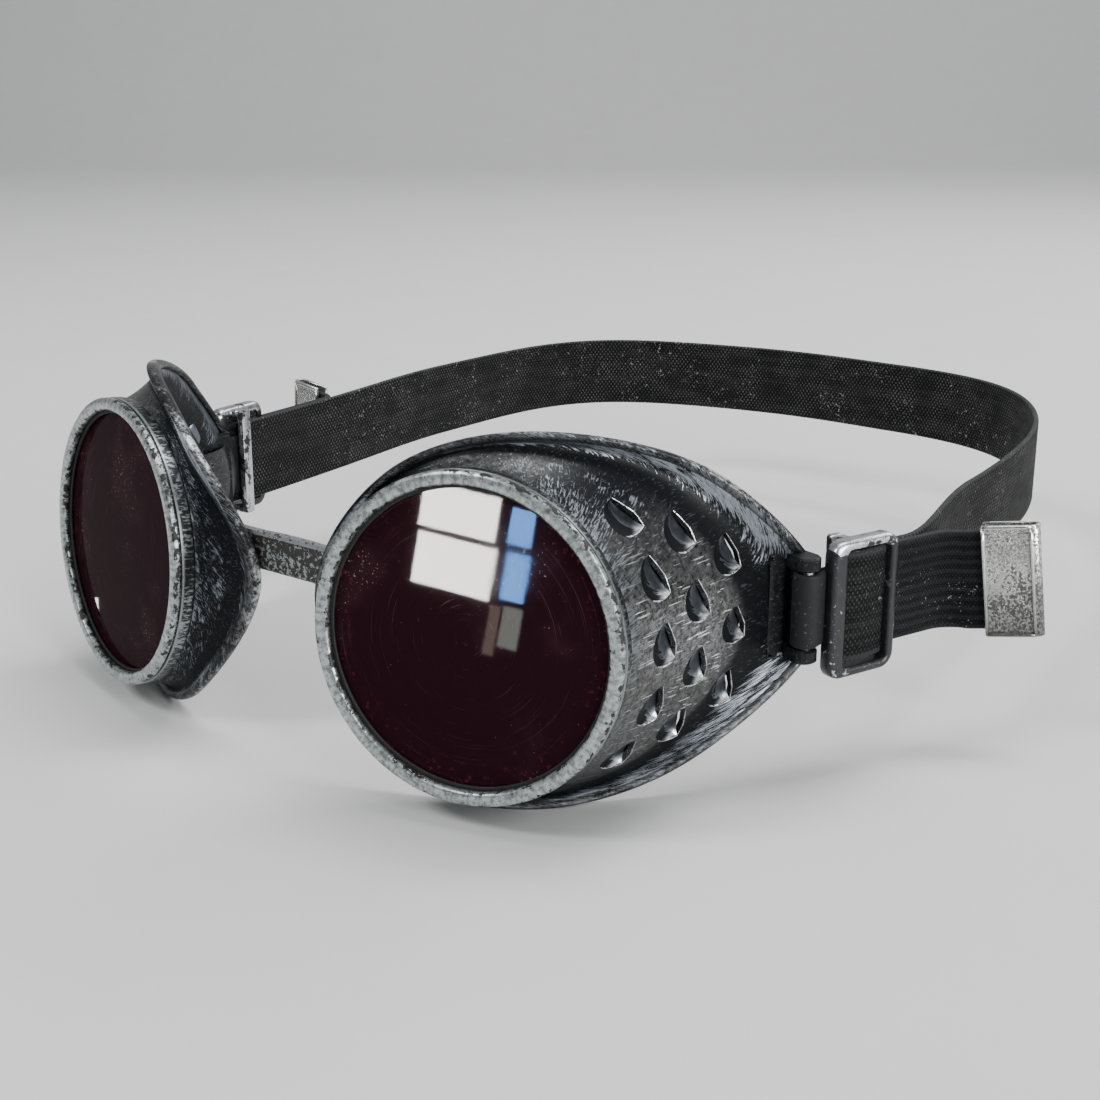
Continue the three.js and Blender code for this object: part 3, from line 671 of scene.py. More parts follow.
for make_look in (
    cup_look, pocket_look, ring_look, cover_look, bridge_look, slider_look, clip_look, band_look,
):
    make_look()
plain_look("dark_glass", 60, (0.0065, 0.0014, 0.0032), (0.016, 0.0035, 0.0075), IOR=1.3, Roughness=0.08)
plain_look("black_rubber", 1200, (0.004, 0.004, 0.004), (0.02, 0.02, 0.019), (0.6, 0.9), 0.4)
plain_look(
    "black_sheet", 600, (0.004, 0.004, 0.0045), (0.02, 0.02, 0.022), (0.45, 0.7), detail=6, Metallic=0.5
)
plain_look("floor", 40, (0.78, 0.78, 0.775), (0.83, 0.83, 0.825), detail=5, Roughness=0.75)
steel_look("bare_steel", (0.16, 0.165, 0.17), (0.5, 0.51, 0.52), 0.36)
# Steel for the vents' lips: bright bare metal, partly a burr and partly a painted highlight along the vent
# edges.
steel_look("burr_and_highlight_steel", (0.3, 0.31, 0.32), (0.8, 0.81, 0.82), 0.25)
webbing_look("webbing", 0.0)
webbing_look("webbing_tight", 0.4)
webbing_look("webbing_ribbed", 1.0)
CUP_LOOKS = "cup_paint", "burr_and_highlight_steel", "pocket_paint"


# ---- eye cups, in the lens frame: X to the temple, Y deeper, Z up ----
def rim_depth(across, up):
    return 6.7 + 0.28 * across + 0.01275 * across**2 + 0.0028 * up**2 - 0.037 * up


def rim_point(turn):
    """The face rim at a share of a turn: a closed Catmull-Rom curve through RIM_OUTLINE."""
    count = len(RIM_OUTLINE)
    control = np.column_stack([RIM_OUTLINE, rim_depth(RIM_OUTLINE[:, 0], RIM_OUTLINE[:, 1])])
    at = (turn % 1) * count
    first = int(at)
    w = at - first
    p0, p1, p2, p3 = (control[(first + k) % count] for k in (-1, 0, 1, 2))
    t0 = 0.5 * (p2 - p0)
    t1 = 0.5 * (p3 - p1)
    slope = -3 * p1 + 3 * p2 - 2 * t0 - t1
    return p1 + t0 * w + slope * w**2 + (2 * p1 - 2 * p2 + t0 + t1) * w**3


def cup_profile(reach, depth):
    """Outside line of the sheet from the shoulder round the bead: (out, depth) points, and their marks."""
    start = np.array([0.0, SHOULDER_DEPTH])
    foot = np.array([FOOT_REACH * reach, SHOULDER_DEPTH + FOOT_DEPTH * (depth - SHOULDER_DEPTH)])
    bead = np.array([reach - BEAD_RADIUS, depth])
    ahead = unit(bead - foot)
    front = np.array([ahead[1], -ahead[0]])
    t = np.linspace(0, FILLET_START, WALL_POINTS)[:, None]
    wall = start + (foot - start) * t
    wall[:, 0] -= WALL_WAIST * np.sin(math.pi * t[:, 0]) * (1 - t[:, 0])
    edge = bead + front * BEAD_BITE
    fillet = bezier([wall[-1], foot, foot + (edge - foot) * 0.35], FILLET_POINTS)[1:]
    bite = math.asin(BEAD_BITE / BEAD_RADIUS)
    turn = np.linspace(math.pi - bite, -math.pi + 0.65, 30)[:, None]
    roll = bead + BEAD_RADIUS * (np.cos(turn) * ahead + np.sin(turn) * front)
    flange = fillet[-1] + (roll[0] - fillet[-1]) * np.linspace(0, 1, 12)[1:-1, None]
    marks = [
        np.linspace(0, 0.86, len(wall)), np.linspace(0.87, 1.45, len(fillet)),
        np.linspace(1.49, 1.98, len(flange)), np.linspace(2.0, 3.0, len(roll)),
    ]
    return np.concatenate([wall, fillet, flange, roll]), np.concatenate(marks)


def cup_ray(angle):
    """The cup's outside line at one angle round the lens, as points in the lens frame, and its marks."""
    across, up, depth = rim_point(angle / TURN)
    radial = np.array([math.cos(angle), 0, math.sin(angle)])
    shoulder = SHOULDER_RADIUS * radial
    outward = np.array([across, 0, up]) - shoulder
    reach = np.linalg.norm(outward)
    outward /= reach
    line, marks = cup_profile(reach, depth)
    side = np.where(line[:, :1] >= 0, outward, radial)
    points = shoulder + side * line[:, :1]
    points[:, 1] = line[:, 1]
    return points, marks


def on_wall(angle, depth):
    """The wall's outside at an angle and a depth."""
    points, marks = cup_ray(angle)
    wall = points[marks < 1.9]
    return np.array([np.interp(depth, wall[:, 1], wall[:, k]) for k in range(3)])


def vent_places():
    for depth, count in VENT_COLUMNS:
        for k in range(count):
            angle = VENT_CENTRE + (k - (count - 1) / 2) * VENT_PITCH
            yield angle, depth - VENT_LEAN * math.sin(angle)


def vent_edges(count):
    """The curved lens side and the straight temple side of a vent, both from its point down."""
    w, h = VENT_WIDTH, VENT_HEIGHT / 2
    top, low, foot = (0.1 * w, h), (-0.28 * w, -0.85 * h), (0.45 * w, -0.72 * h)
    flank = bezier([top, (-0.5 * w, 0.85 * h), (-0.75 * w, -0.35 * h), low], 3 * count)
    bottom = bezier([low, (0, -1.12 * h), foot], count)
    edges = []
    for line in (np.concatenate([flank, bottom[1:]]), [top, (0.4 * w, 0), foot]):
        line = resampled(line, 0.05)
        edges.append(line[np.linspace(0, len(line) - 1, count).astype(int)])
    return edges


def inside(x, y, outline):
    """Whether each place lies inside a closed outline."""
    crossings = np.zeros(x.shape, int)
    for (x0, y0), (x1, y1) in zip(outline, np.roll(outline, -1, axis=0)):
        if y0 != y1:
            spans = (y0 > y) != (y1 > y)
            crossings += spans & (x < x0 + (y - y0) * (x1 - x0) / (y1 - y0))
    return crossings % 2 == 1


def nearest(place, outline):
    """The nearest place on a closed outline."""
    ahead = np.roll(outline, -1, axis=0) - outline
    share = np.sum((place - outline) * ahead, axis=1) / np.maximum(np.sum(ahead**2, axis=1), 1e-12)
    spots = outline + np.clip(share, 0, 1)[:, None] * ahead
    return spots[np.argmin(np.sum((spots - place) ** 2, axis=1))]


def face_middles(grid):
    """Each face's mean value, for a grid that closes on itself along its rows."""
    after = np.roll(grid, -1, axis=0)
    return (grid[:, :-1] + after[:, :-1] + after[:, 1:] + grid[:, 1:]) / 4


def edge_vertices(gone):
    """Vertices that lie between a face that is gone and one that is kept."""
    count = np.zeros((gone.shape[0], gone.shape[1] + 1), int)
    for rows in (0, 1):
        for columns in (0, 1):
            count[:, columns:columns + gone.shape[1]] += np.roll(gone, rows, axis=0)
    return np.argwhere((count > 0) & (count < 4))


def pierce_vents(points, angles, gone):
    """Takes the faces inside each vent away and moves the vertices round it onto its outline."""
    curved, straight = vent_edges(20)
    outline = np.concatenate([curved, straight[-2:0:-1]])
    radius = np.hypot(points[..., 0], points[..., 2])
    on_side = np.arange(points.shape[1]) < WALL_POINTS + FILLET_POINTS - 3
    for angle, depth in vent_places():
        x = points[..., 1] - depth
        y = radius * (angles - angle)[:, None]
        middle = face_middles(x), face_middles(y)
        hole = inside(*middle, outline) & on_side[:-1] & (np.abs(middle[1]) < VENT_HEIGHT)
        for i, j in edge_vertices(hole):
            dx, dy = nearest(np.array([x[i, j], y[i, j]]), outline)
            points[i, j] = on_wall(angle + dy / radius[i, j], depth + dx)
        gone |= hole


def cut_notch(points, gone):
    """Takes away the flange and bead between the lugs, where the strap passes."""
    placed = moved(points, LENS)
    turn = math.radians(SIDES["left"]["heading"]) / 2
    c, s = math.cos(turn), math.sin(turn)
    flat = (placed[..., :2] - (PIN - (1, 0))) @ np.array([[c, s], [-s, c]])
    level = placed[..., 2] - STRAP_Z
    x, y, z = (face_middles(grid) for grid in (flat[..., 0], flat[..., 1], level))
    near, far = NOTCH_REACH
    hole = (x > near) & (x < far) & (y > NOTCH_FRONT) & (y < NOTCH_BACK) & (np.abs(z) < NOTCH_HALF)
    for i, j in edge_vertices(hole):
        if abs(abs(level[i, j]) - NOTCH_HALF) < 0.6:
            placed[i, j, 2] = STRAP_Z + math.copysign(NOTCH_HALF, level[i, j])
        elif abs(flat[i, j, 1] - NOTCH_FRONT) < 0.8:
            placed[i, j, :2] += (NOTCH_FRONT - flat[i, j, 1]) * np.array([s, c])
    points[:] = (placed - LENS[:3, 3]) @ LENS[:3, :3]
    gone |= hole


def recess(piece):
    """The folded sheet behind the notch, dark because its mark lies in the cup paint's trough and takes its
    painted shade.
    """
    angles = np.radians(np.linspace(-20, 16, 40))
    sheet = []
    for angle in angles:
        points, marks = cup_ray(angle)
        line = points[(marks > 1.04) & (marks < 2.6)]
        side = unit(np.cross(np.gradient(line, axis=0), np.array([-math.sin(angle), 0, math.cos(angle)])))
        inward = side if side[0] @ (line[0] * (1, 0, 1)) < 0 else -side
        sheet.append((line + inward * RECESS_DEPTH)[:-12])
    grid = np.stack(sheet)
    piece.grid(grid, angles / TURN, np.full(grid.shape[1], 0.9))


def wall_at(angle, depth, x, y):
    """A point of the wall x deeper and y round from a place, and the way out of the wall there."""
    radius = np.linalg.norm(on_wall(angle, depth)[[0, 2]])
    near = 0.4
    spot = on_wall(angle + y / radius, depth + x)
    deeper = on_wall(angle + y / radius, depth + x + near) - spot
    round_it = on_wall(angle + (y + near) / radius, depth + x) - spot
    out = unit(np.cross(round_it, deeper))
    return spot, out if out @ (spot * (1, 0, 1)) > 0 else -out


def vent_leaves(piece):
    """Each vent's leaf, which leaves the sheet smoothly on its curved side, and the vent's bright lips,
    which are partly a burr and partly a painted highlight.
    """
    columns, rows = 26, 14
    curved, straight = vent_edges(columns)
    share = np.linspace(0, 1, rows)
    down = np.linspace(0, 1, columns)
    for angle, depth in vent_places():
        leaf = np.zeros((rows, columns, 3))
        lip, low = [], []
        for j in range(columns):
            spot_a, out_a = wall_at(angle, depth, *curved[j])
            spot_b, out_b = wall_at(angle, depth, *straight[j])
            press = VENT_PRESS * math.sin(math.pi * min(1.0, 0.04 + down[j] ** 1.1)) ** 0.5
            for i, f in enumerate(share):
                sink = press * math.sin(0.5 * math.pi * f) ** 1.35 + 0.03
                leaf[i, j] = spot_a + (spot_b - spot_a) * f - (out_a + (out_b - out_a) * f) * sink
            lip.append(spot_b + out_b * 0.03)
            low.append(spot_a + out_a * 0.03)
        piece.grid(leaf, share, down, flip=True, slot=2)
        piece.grid(leaf - 0.4 * outwards(leaf), share, down, slot=2)
        # Bright steel rods along the straight edge and the low curved edge: partly burr, partly a painted
        # highlight line.
        tube(piece, np.array(lip), 0.10, slot=1)
        tube(piece, np.array(low[-9:]), 0.17, slot=1)


def outwards(grid):
    """The unit normals of a grid of points."""
    n = np.cross(np.gradient(grid, axis=0), np.gradient(grid, axis=1))
    n /= np.maximum(np.linalg.norm(n, axis=2, keepdims=True), 1e-9)
    return n * np.sign(np.sum(n * grid * (1, 0, 1)))


def tube(piece, path, radius, slot=0, sides=6, taper=0.25, mark=0):
    """A thin round rod along a path, thinner towards its ends."""
    ahead = unit(np.gradient(path, axis=0))
    side = unit(np.cross(ahead, np.array([0.3, 1.0, 0.2])))
    up = np.cross(ahead, side)
    swell = np.sin(math.pi * np.linspace(0.02, 0.98, len(path))) ** 0.4
    width = radius * (taper + (1 - taper) * swell)[:, None]
    angles = np.linspace(0, TURN, sides, endpoint=False)
    corners = [path + width * (math.cos(angle) * side + math.sin(angle) * up) for angle in angles]
    rings = np.stack(corners, axis=1)
    piece.rod(rings, [0] * len(path), [mark] * (sides + 1), ((0, mark), (0, mark)), slot)


def upright_plate(piece, outline, levels):
    """A plate on the cup's lugs: its plan, and its scale at each height over the strap's middle line."""
    middle = outline.mean(axis=0)
    rings = []
    for scale, z in levels:
        level = np.full(len(outline), STRAP_Z + z)
        rings.append(np.column_stack([middle + (outline - middle) * scale, level]))
    marks = [LUG_MARK[1]] * (len(outline) + 1)
    piece.rod(rings, [LUG_MARK[0]] * len(rings), marks, (LUG_MARK, LUG_MARK), flip=True)


def lug_plates(piece):
    """Two rounded ears that hold the strap pin, and the plate between them."""
    ahead = math.degrees(math.atan2(*(PIN - LUG_ROOT)[::-1]))
    ear = np.concatenate([
        arc(PIN, 2.3, ahead - 90, ahead + 90, 14), arc(LUG_ROOT, 2.0, ahead + 90, ahead + 270, 14),
    ])
    for low, high in ((LUG_FOOT, LUG_TOP), (-LUG_TOP, -LUG_FOOT)):
        upright_plate(piece, ear, ((0.9, low), (1, low + 0.3), (1, high - 0.3), (0.9, high)))
    upright_plate(piece, BACK_PLATE, ((1, -LUG_TOP), (1, LUG_TOP)))


def neck():
    """The plain neck that the ring turns on, and the ledge that carries the lenses."""
    low, high = LEDGE
    profile = [
        (NECK_BORE, low, 0.0), (NECK_BORE, 1.5, 0.0), (NECK_RADIUS, 1.5, 0.0), (NECK_RADIUS, 5.2, 0.05),
        (NECK_RADIUS, high, 0.3), (LEDGE_BORE, high, 0.3), (LEDGE_BORE, low, 0.3), (NECK_BORE, low, 0.0),
    ]
    return turned(profile, LENS)


def cup_shell():
    """The left cup's sheet: an outer skin with its vents and notch open, given its thickness inwards."""
    angles = np.radians(np.concatenate([
        np.linspace(-VENT_SIDE, VENT_SIDE, 430, endpoint=False),
        np.linspace(VENT_SIDE, 360 - VENT_SIDE, 220, endpoint=False),
    ]))
    rays = [cup_ray(angle) for angle in angles]
    points = np.stack([ray[0] for ray in rays])
    gone = np.zeros((points.shape[0], points.shape[1] - 1), bool)
    pierce_vents(points, angles, gone)
    cut_notch(points, gone)
    turns = np.append(angles, angles[0] + TURN) / TURN
    shell = Piece()
    shell.grid(moved(points, LENS), turns, rays[0][1], wrap_u=True, flip=True, gone=gone)
    made = shell.make("cup_shell", CUP_LOOKS)
    thick = made.modifiers.new("sheet", "SOLIDIFY")
    thick.thickness = CUP_SHEET * MM
    thick.offset = -1
    graph = bpy.context.evaluated_depsgraph_get()
    made.data = bpy.data.meshes.new_from_object(made.evaluated_get(graph))
    made.modifiers.clear()
    return made


def weld(made):
    """Joins a piece's islands where they meet and points its faces out."""
    work = bmesh.new()
    work.from_mesh(made.data)
    bmesh.ops.remove_doubles(work, verts=work.verts, dist=0.002 * MM)
    bmesh.ops.recalc_face_normals(work, faces=work.faces)
    work.to_mesh(made.data)
    work.free()


def settle(made, body, slot, *nodes):
    """Rides a made piece on its body, if it is given one, in place of its CAD nodes."""
    if body:
        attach(made, body)
    if nodes:
        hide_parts(*nodes)


def finish(piece, kind, look, side=None, body="frame", nodes=None, smooth=40, slot=None):
    """Makes, welds and settles a piece of one look, in place of its side's CAD node of the same kind."""
    sign = SIDES[side]["sign"] if side else 1
    made = piece.make(f"{kind}_{side}" if side else kind, [look], sign, smooth)
    weld(made)
    settle(made, body, slot or look, *([f"{side}_{kind}"] if nodes is None else nodes))
    return made


def joined(parts, name):
    """One object from several."""
    work = bmesh.new()
    for part in parts:
        work.from_mesh(part.data)
    mesh = bpy.data.meshes.new(name)
    work.to_mesh(mesh)
    work.free()
    for material in parts[0].data.materials:
        mesh.materials.append(material)
    for part in parts:
        bpy.data.objects.remove(part)
    return new_object(name, mesh)


def mirrored(made, name):
    mesh = made.data.copy()
    mesh.transform(Matrix.Scale(-1, 4, (1, 0, 0)))
    mesh.flip_normals()
    return new_object(name, mesh)


def eye_cups():
    shell = cup_shell()
    fittings = Piece()
    vent_leaves(fittings)
    recess(fittings)
    fittings.points = [moved(points, LENS) for points in fittings.points]
    lug_plates(fittings)
    parts = [shell, fittings.make("cup_fittings", CUP_LOOKS), neck().make("cup_neck", CUP_LOOKS)]
    left = joined(parts, "eye_cup_left")
    left.data.set_sharp_from_angle(angle=math.radians(38))
    settle(left, "frame", "cup_paint", "left_eye_cup")
    settle(mirrored(left, "eye_cup_right"), "frame", "cup_paint", "right_eye_cup")


# ---- lens stack ----
def ring_profile():
    """A flat rounded face between two worn corners, and a plain side. The mark is 0 to 1 over the face."""
    inner, outer = RING_OPENING, RING_RADIUS
    face = [
        (inner, 1.2, -0.3), (inner, 0.7, -0.1), (inner + 0.12, 0.35, 0.0), (inner + 0.4, 0.1, 0.1),
        (inner + 0.8, 0.0, 0.25), (outer - 0.9, 0.0, 0.7), (outer - 0.45, 0.12, 0.85),
        (outer - 0.12, 0.4, 1.0), (outer, 0.85, 1.2),
    ]
    side = [
        (outer, 1.15, 1.25), (outer - 0.35, 1.3, 1.3), (outer - 0.35, 1.55, 1.35), (outer - 0.02, 1.7, 1.4),
        (outer, 1.95, 1.5), (outer, 3.6, 1.8), (outer - 0.1, 4.0, 1.9), (outer - 0.4, RING_DEPTH, 2.0),
        (RING_SKIRT, RING_DEPTH, 2.2), (RING_SKIRT, 1.2, 2.6), (inner, 1.2, 2.8),
    ]
    return face + side


def washer_profile(front, back):
    inner, outer = GASKET_BORE, LENS_RADIUS
    return [
        (inner, back, 0), (inner, front + 0.1, 0.1), (inner + 0.12, front, 0.2), (outer, front, 0.8),
        (outer, back, 0.9), (inner, back, 1),
    ]


def disc_profile(front, back, dome=0.0):
    """A lens, slightly domed. The mark is the distance from its middle as a share of its radius."""
    radii = np.linspace(0, LENS_RADIUS - 0.25, 14)
    face = [(r, front + 0.3 - dome * (1 - (r / LENS_RADIUS) ** 2), r / LENS_RADIUS) for r in radii]
    return face + [(LENS_RADIUS, front + 0.45, 1.0), (LENS_RADIUS, back, 1.0), (0, back, 0.0)]


def lens_stack(name):
    pack = f"{name}_lens_pack"
    plans = [
        ("lens_ring", ring_profile(), "ring_silver", f"{name}_ring"),
        ("front_gasket", washer_profile(1.5, COVER_FRONT), "black_rubber", pack),
        ("cover_lens", disc_profile(COVER_FRONT, 3.2, 0.1), "cover_glass", pack),
        ("filter_lens", disc_profile(3.2, 5.7), "dark_glass", pack),
        ("rear_gasket", washer_profile(6.0, 6.5), "black_rubber", "frame"),
    ]
    for kind, profile, look, body in plans:
        finish(turned(profile, LENS), kind, look, name, body, smooth=30)


# ---- bridge and rivets ----
def bridge():
    """A bowed strip with a rolled upper lip."""
    half = BRIDGE_HEIGHT / 2
    section = np.array([
        (0.35, -half), (0.0, -half + 0.5), (0.0, -half + 1.2), (0.12, -1.5), (0.12, 1.4),
        (0.05, half - 1.4), (0.0, half - 0.8), (0.25, half - 0.2), (0.9, half), (1.6, half - 0.15),
        (2.0, half - 0.7), (2.0, 1.4), (2.0, -1.4), (2.0, -half + 0.6), (1.5, -half),
    ])
    marks = np.linspace(0, 1, len(section) + 1)
    marks[6:11] = 1.0
    places = np.linspace(-BRIDGE_HALF, BRIDGE_HALF, 64)
    rows = []
    for x in places:
        bow = 0.4 * max(0.0, 1 - (x / 8) ** 2)
        depth = BRIDGE_FRONT + section[:, 0] + bow * (section[:, 0] > 1)
        rows.append(np.column_stack([np.full(len(section), x), depth, BRIDGE_Z + section[:, 1]]))
    piece = Piece()
    piece.rod(rows, places, marks)
    finish(piece, "bridge_strip", "bridge_paint", nodes=["bridge"])


def rivet(name):
    """A rivet with a domed head behind the bridge."""
    front = BRIDGE_FRONT - 0.7
    back = BRIDGE_FRONT + BRIDGE_SHEET + 0.3
    dome = np.linspace(0, math.pi / 2, 8)
    profile = [(0, front, 0), (1.1, front, 0), (1.1, back, 0), (2.0, back, 0)]
    profile += [(2.0 * math.cos(a), back + 0.15 + 0.85 * math.sin(a), 0) for a in dome]
    place = np.array(Matrix.Translation((RIVET_OFFSET, 0, BRIDGE_Z)))
    finish(turned(profile, place, steps=32), "rivet", "bare_steel", name, nodes=[f"{name}_bridge_rivet"])


# ---- strap hardware ----
class StrapEnd:
    """The strap's straight run at one temple: s goes back from the slider's middle, n out of the head."""

    def __init__(self, name):
        self.side = SIDES[name]
        heading = math.radians(self.side["heading"])
        self.along = np.array([math.sin(heading), math.cos(heading)])
        self.out = np.array([self.along[1], -self.along[0]])
        self.centre = PIN + self.along * self.side["reach"]

    def at(self, s, n):
        return self.centre + self.along * s + self.out * n

    def placed(self, points):
        """Points given as (s, up, n) round the slider's middle."""
        points = np.asarray(points, float)
        flat = self.centre + points[..., :1] * self.along + points[..., 2:] * self.out
        z = STRAP_Z - self.side["sag"] + points[..., 1:2]
        return np.concatenate([flat, z], axis=-1)

    def row_point(self, s, n):
        """A point of this run in the row frame, in metres."""
        x, y = self.at(s, n)
        spot = np.array([x * self.side["sign"], y, STRAP_Z]) + TO_ROW
        return tuple(spot * MM)


def tape_section(width, sheet, faces=11):
    """Cross-section of a woven tape: across and normal, with round selvedges."""
    half, round_ = width / 2, sheet / 2
    flat = np.linspace(-half + round_, half - round_, faces)
    top = arc((half - round_, 0), round_, 90, -90, 7)[1:-1]
    bottom = arc((-half + round_, 0), round_, 270, 90, 7)[1:-1]
    front = np.column_stack([flat, np.full(faces, round_)])
    back = front[::-1] * (1, -1)
    return np.concatenate([front, top, back, bottom])


def tape(piece, path, section, heights=None, leans=None, start=0.0):
    """A tape on edge along a plan path. The marks are millimetres along and across."""
    path = np.asarray(path, float)
    count = len(path)
    heights = np.full(count, STRAP_Z) if heights is None else heights
    leans = np.zeros(count) if leans is None else leans
    ahead = unit(np.gradient(path, axis=0))
    out = np.column_stack([ahead[:, 1], -ahead[:, 0], np.zeros(count)])
    up = np.column_stack([ahead * np.sin(leans)[:, None], np.cos(leans)])
    centre = np.column_stack([path, heights])
    rows = centre[:, None] + section[None, :, :1] * up[:, None] + section[None, :, 1:] * out[:, None]
    length = start + lengths_along(path)
    across = np.append(section[:, 0], section[0, 0])
    piece.rod(rows, length, across, ((length[0], 0), (length[-1], 0)))


def loop_tape(name):
    """Smooth band folded round the pin."""
    end = StrapEnd(name)
    pin_at = -end.side["reach"]
    radius = PIN_RADIUS + 0.3 + 0.5
    leg = LAYER - WEB_SHEET / 2 + 0.5
    straight = pin_at + 3.6
    turns = np.radians(np.linspace(-75, -285, 22))
    plan = [(SEAM_INNER - 0.3, -leg), (straight, -leg)]
    plan += [(pin_at + radius * math.cos(a), radius * math.sin(a)) for a in turns]
    plan += [(straight, leg), (SEAM_OUTER - 0.3, leg)]
    piece = Piece()
    tape(piece, resampled([end.at(s, n) for s, n in plan], 0.5), tape_section(13.4, 0.96, 7))
    finish(piece, "strap_loop", "smooth_band", name)


def pin(name):
    """The upright pin in the temple lugs, with worn round ends."""
    end = [(1.2, 8.7, 0), (1.1, 9.0, 0), (0.8, 9.2, 0), (0, 9.2, 0)]
    profile = [(radius, -place, 0) for radius, place, _ in end[::-1]] + end
    upright = Matrix.Translation((*PIN, STRAP_Z)) @ Matrix.Rotation(math.pi / 2, 4, "X")
    finish(turned(profile, np.array(upright), steps=40), "strap_pin", "bare_steel", name)


def rounded_ring(x0, x1, half, radius, level, steps=7):
    """A rounded rectangle of (s, up, n) points at one level."""
    corners = [(x1 - radius, half - radius, 0), (x0 + radius, half - radius, 90),
               (x0 + radius, -half + radius, 180), (x1 - radius, -half + radius, 270)]
    flat = np.concatenate([arc((x, y), radius, turn, turn + 90, steps) for x, y, turn in corners])
    return np.column_stack([flat, np.full(len(flat), level)])


def slider_frame(piece, end):
    """The slider's window frame: one loop of rounded section, bright on its raised edges and its top bar."""
    length, half, low, face = 7.75, 12.6, 0.3, SLIDER_FACE
    outer = (
        (0.5, low, 0.4), (0.0, low + 0.5, 0.1), (0.0, face - 1.0, 0.2), (0.12, face - 0.45, 0.8),
        (0.45, face - 0.12, 1.0), (0.9, face, 0.5),
    )
    inner = (
        (0.6, face, 0.3), (0.25, face - 0.1, 0.8), (0.05, face - 0.4, 0.6), (0.0, face - 0.9, 0.0),
        (0.0, low, 0.0),
    )
    rings = []
    for inset, level, _ in outer:
        rings.append(rounded_ring(-length + inset, length - inset, half - inset, 2.8 - 0.6 * inset, level))
    for inset, level, _ in inner:
        start, stop = -length + 3.2 - inset, length - 1.9 + inset
        rings.append(rounded_ring(start, stop, 10.8 + inset, 1.0 + inset, level))
    edges = [mark for _, _, mark in outer + inner]
    top = [1.0 if y > 11.2 else 0.0 for y in rings[2][:, 1]]
    grid = end.placed(np.stack(rings))
    piece.grid(grid, edges + edges[:1], top + top[:1], wrap_u=True, wrap_v=True)


def slider_bar(piece, end):
    """The centre bar on the head side, and the two posts that hold it."""
    blocks = (
        (-12.25, 12.25, -SLIDER_FACE, -1.75), (10.5, 12.25, -2.0, 0.9), (-12.25, -10.5, -2.0, 0.9),
    )
    for low, high, back, face in blocks:
        middle, half = (low + high) / 2, (high - low) / 2
        rings = []
        steps = (0.35, back), (0.08, back + 0.12), (0.0, back + 0.4), (0.0, face - 0.3), (0.2, face)
        for inset, level in steps:
            ring = rounded_ring(-3.8 + inset, -1.0 - inset, half - inset, 0.5, level, 4)
            rings.append(end.placed(ring + (0, middle, 0)))
        piece.rod(rings, [1, 1, 0.6, 0, 0], [0.75] * (len(rings[0]) + 1), ((1, 0.75), (0, 0)))


def slider(name):
    end = StrapEnd(name)
    piece = Piece()
    slider_frame(piece, end)
    slider_bar(piece, end)
    piece.marks = [[(v, u) for u, v in mark] for mark in piece.marks]
    finish(piece, "slider", "slider_steel", name, f"{name}_slider_body", smooth=50)


def window_webbing(name):
    """The tape that swells out of the slider's window; it travels with the window."""
    end = StrapEnd(name)
    s = np.linspace(-5.6, 6.9, 40)
    rise = 0.15 + 1.15 * np.sin(math.pi * np.clip((s + 5.3) / 12.0, 0, 1)) ** 0.8
    path = [end.at(a, LAYER + b) for a, b in zip(s, rise)]
    heights = np.full(len(path), STRAP_Z - end.side["sag"])
    piece = Piece()
    tape(piece, path, tape_section(WEB_WIDTH + 1.6, 0.9), heights, start=3.0)
    body = f"{name}_slider_body"
    finish(piece, "window_webbing", "webbing_tight", name, body, nodes=(), slot="webbing")


def tail_route(end):
    """Plan of the loose end: its start, its bend, its tip, the way it points there, and its climb."""
    run, bend, radius, last, rise = end.side["tail"]
    begin = end.at(STRAIGHT_END + 0.6, LAYER)
    turn_at = begin + end.along * run
    centre = turn_at + end.out * radius
    first = math.degrees(math.atan2(*(turn_at - centre)[::-1]))
    curve = arc(centre, radius, first, first - bend, 24)
    angle = -math.radians(bend)
    c, s = math.cos(angle), math.sin(angle)
    ahead = np.array([[c, -s], [s, c]]) @ end.along
    tip = curve[-1] + ahead * last
    return begin, curve, tip, ahead, math.radians(rise)


def strap_end(name):
    """Outer layer and loose tail in one length of webbing, which curves away behind the slider."""
    end = StrapEnd(name)
    begin, curve, tip, _, rise = tail_route(end)
    _, bend, radius, last, _ = end.side["tail"]
    path = resampled(np.concatenate([[end.at(SEAM_OUTER, LAYER), begin], curve, [tip]]), 0.7)
    length = lengths_along(path)
    straight = length[-1] - last
    climb = np.clip(length - straight, 0, None) * math.tan(rise)
    leans = -rise * smoothstep(length, straight - math.radians(bend) * radius, straight)
    piece = Piece()
    tape(piece, path, tape_section(WEB_WIDTH, WEB_SHEET), STRAP_Z + climb, leans)
    nodes = f"{name}_strap_return", f"{name}_strap_tail"
    made = finish(piece, "strap_end", "webbing_ribbed", name, body=None, nodes=nodes, slot="webbing")
    start, stop = (end.row_point(STRAIGHT_END + s, 0) for s in (-1.5, 5))
    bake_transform(made)


def clip_plan():
    """Outline of the sheet folded over the tape's end: along its outside, then back along its inside."""
    inside = CLIP_OUTSIDE - CLIP_SHEET
    return np.concatenate([
        [(CLIP_MOUTH, CLIP_OUTSIDE)], arc((0, 0), CLIP_OUTSIDE, 90, -90, 14), [(CLIP_MOUTH, -CLIP_OUTSIDE)],
        [(CLIP_MOUTH, -inside)], arc((0, 0), inside, -90, 90, 14), [(CLIP_MOUTH, inside)],
    ])


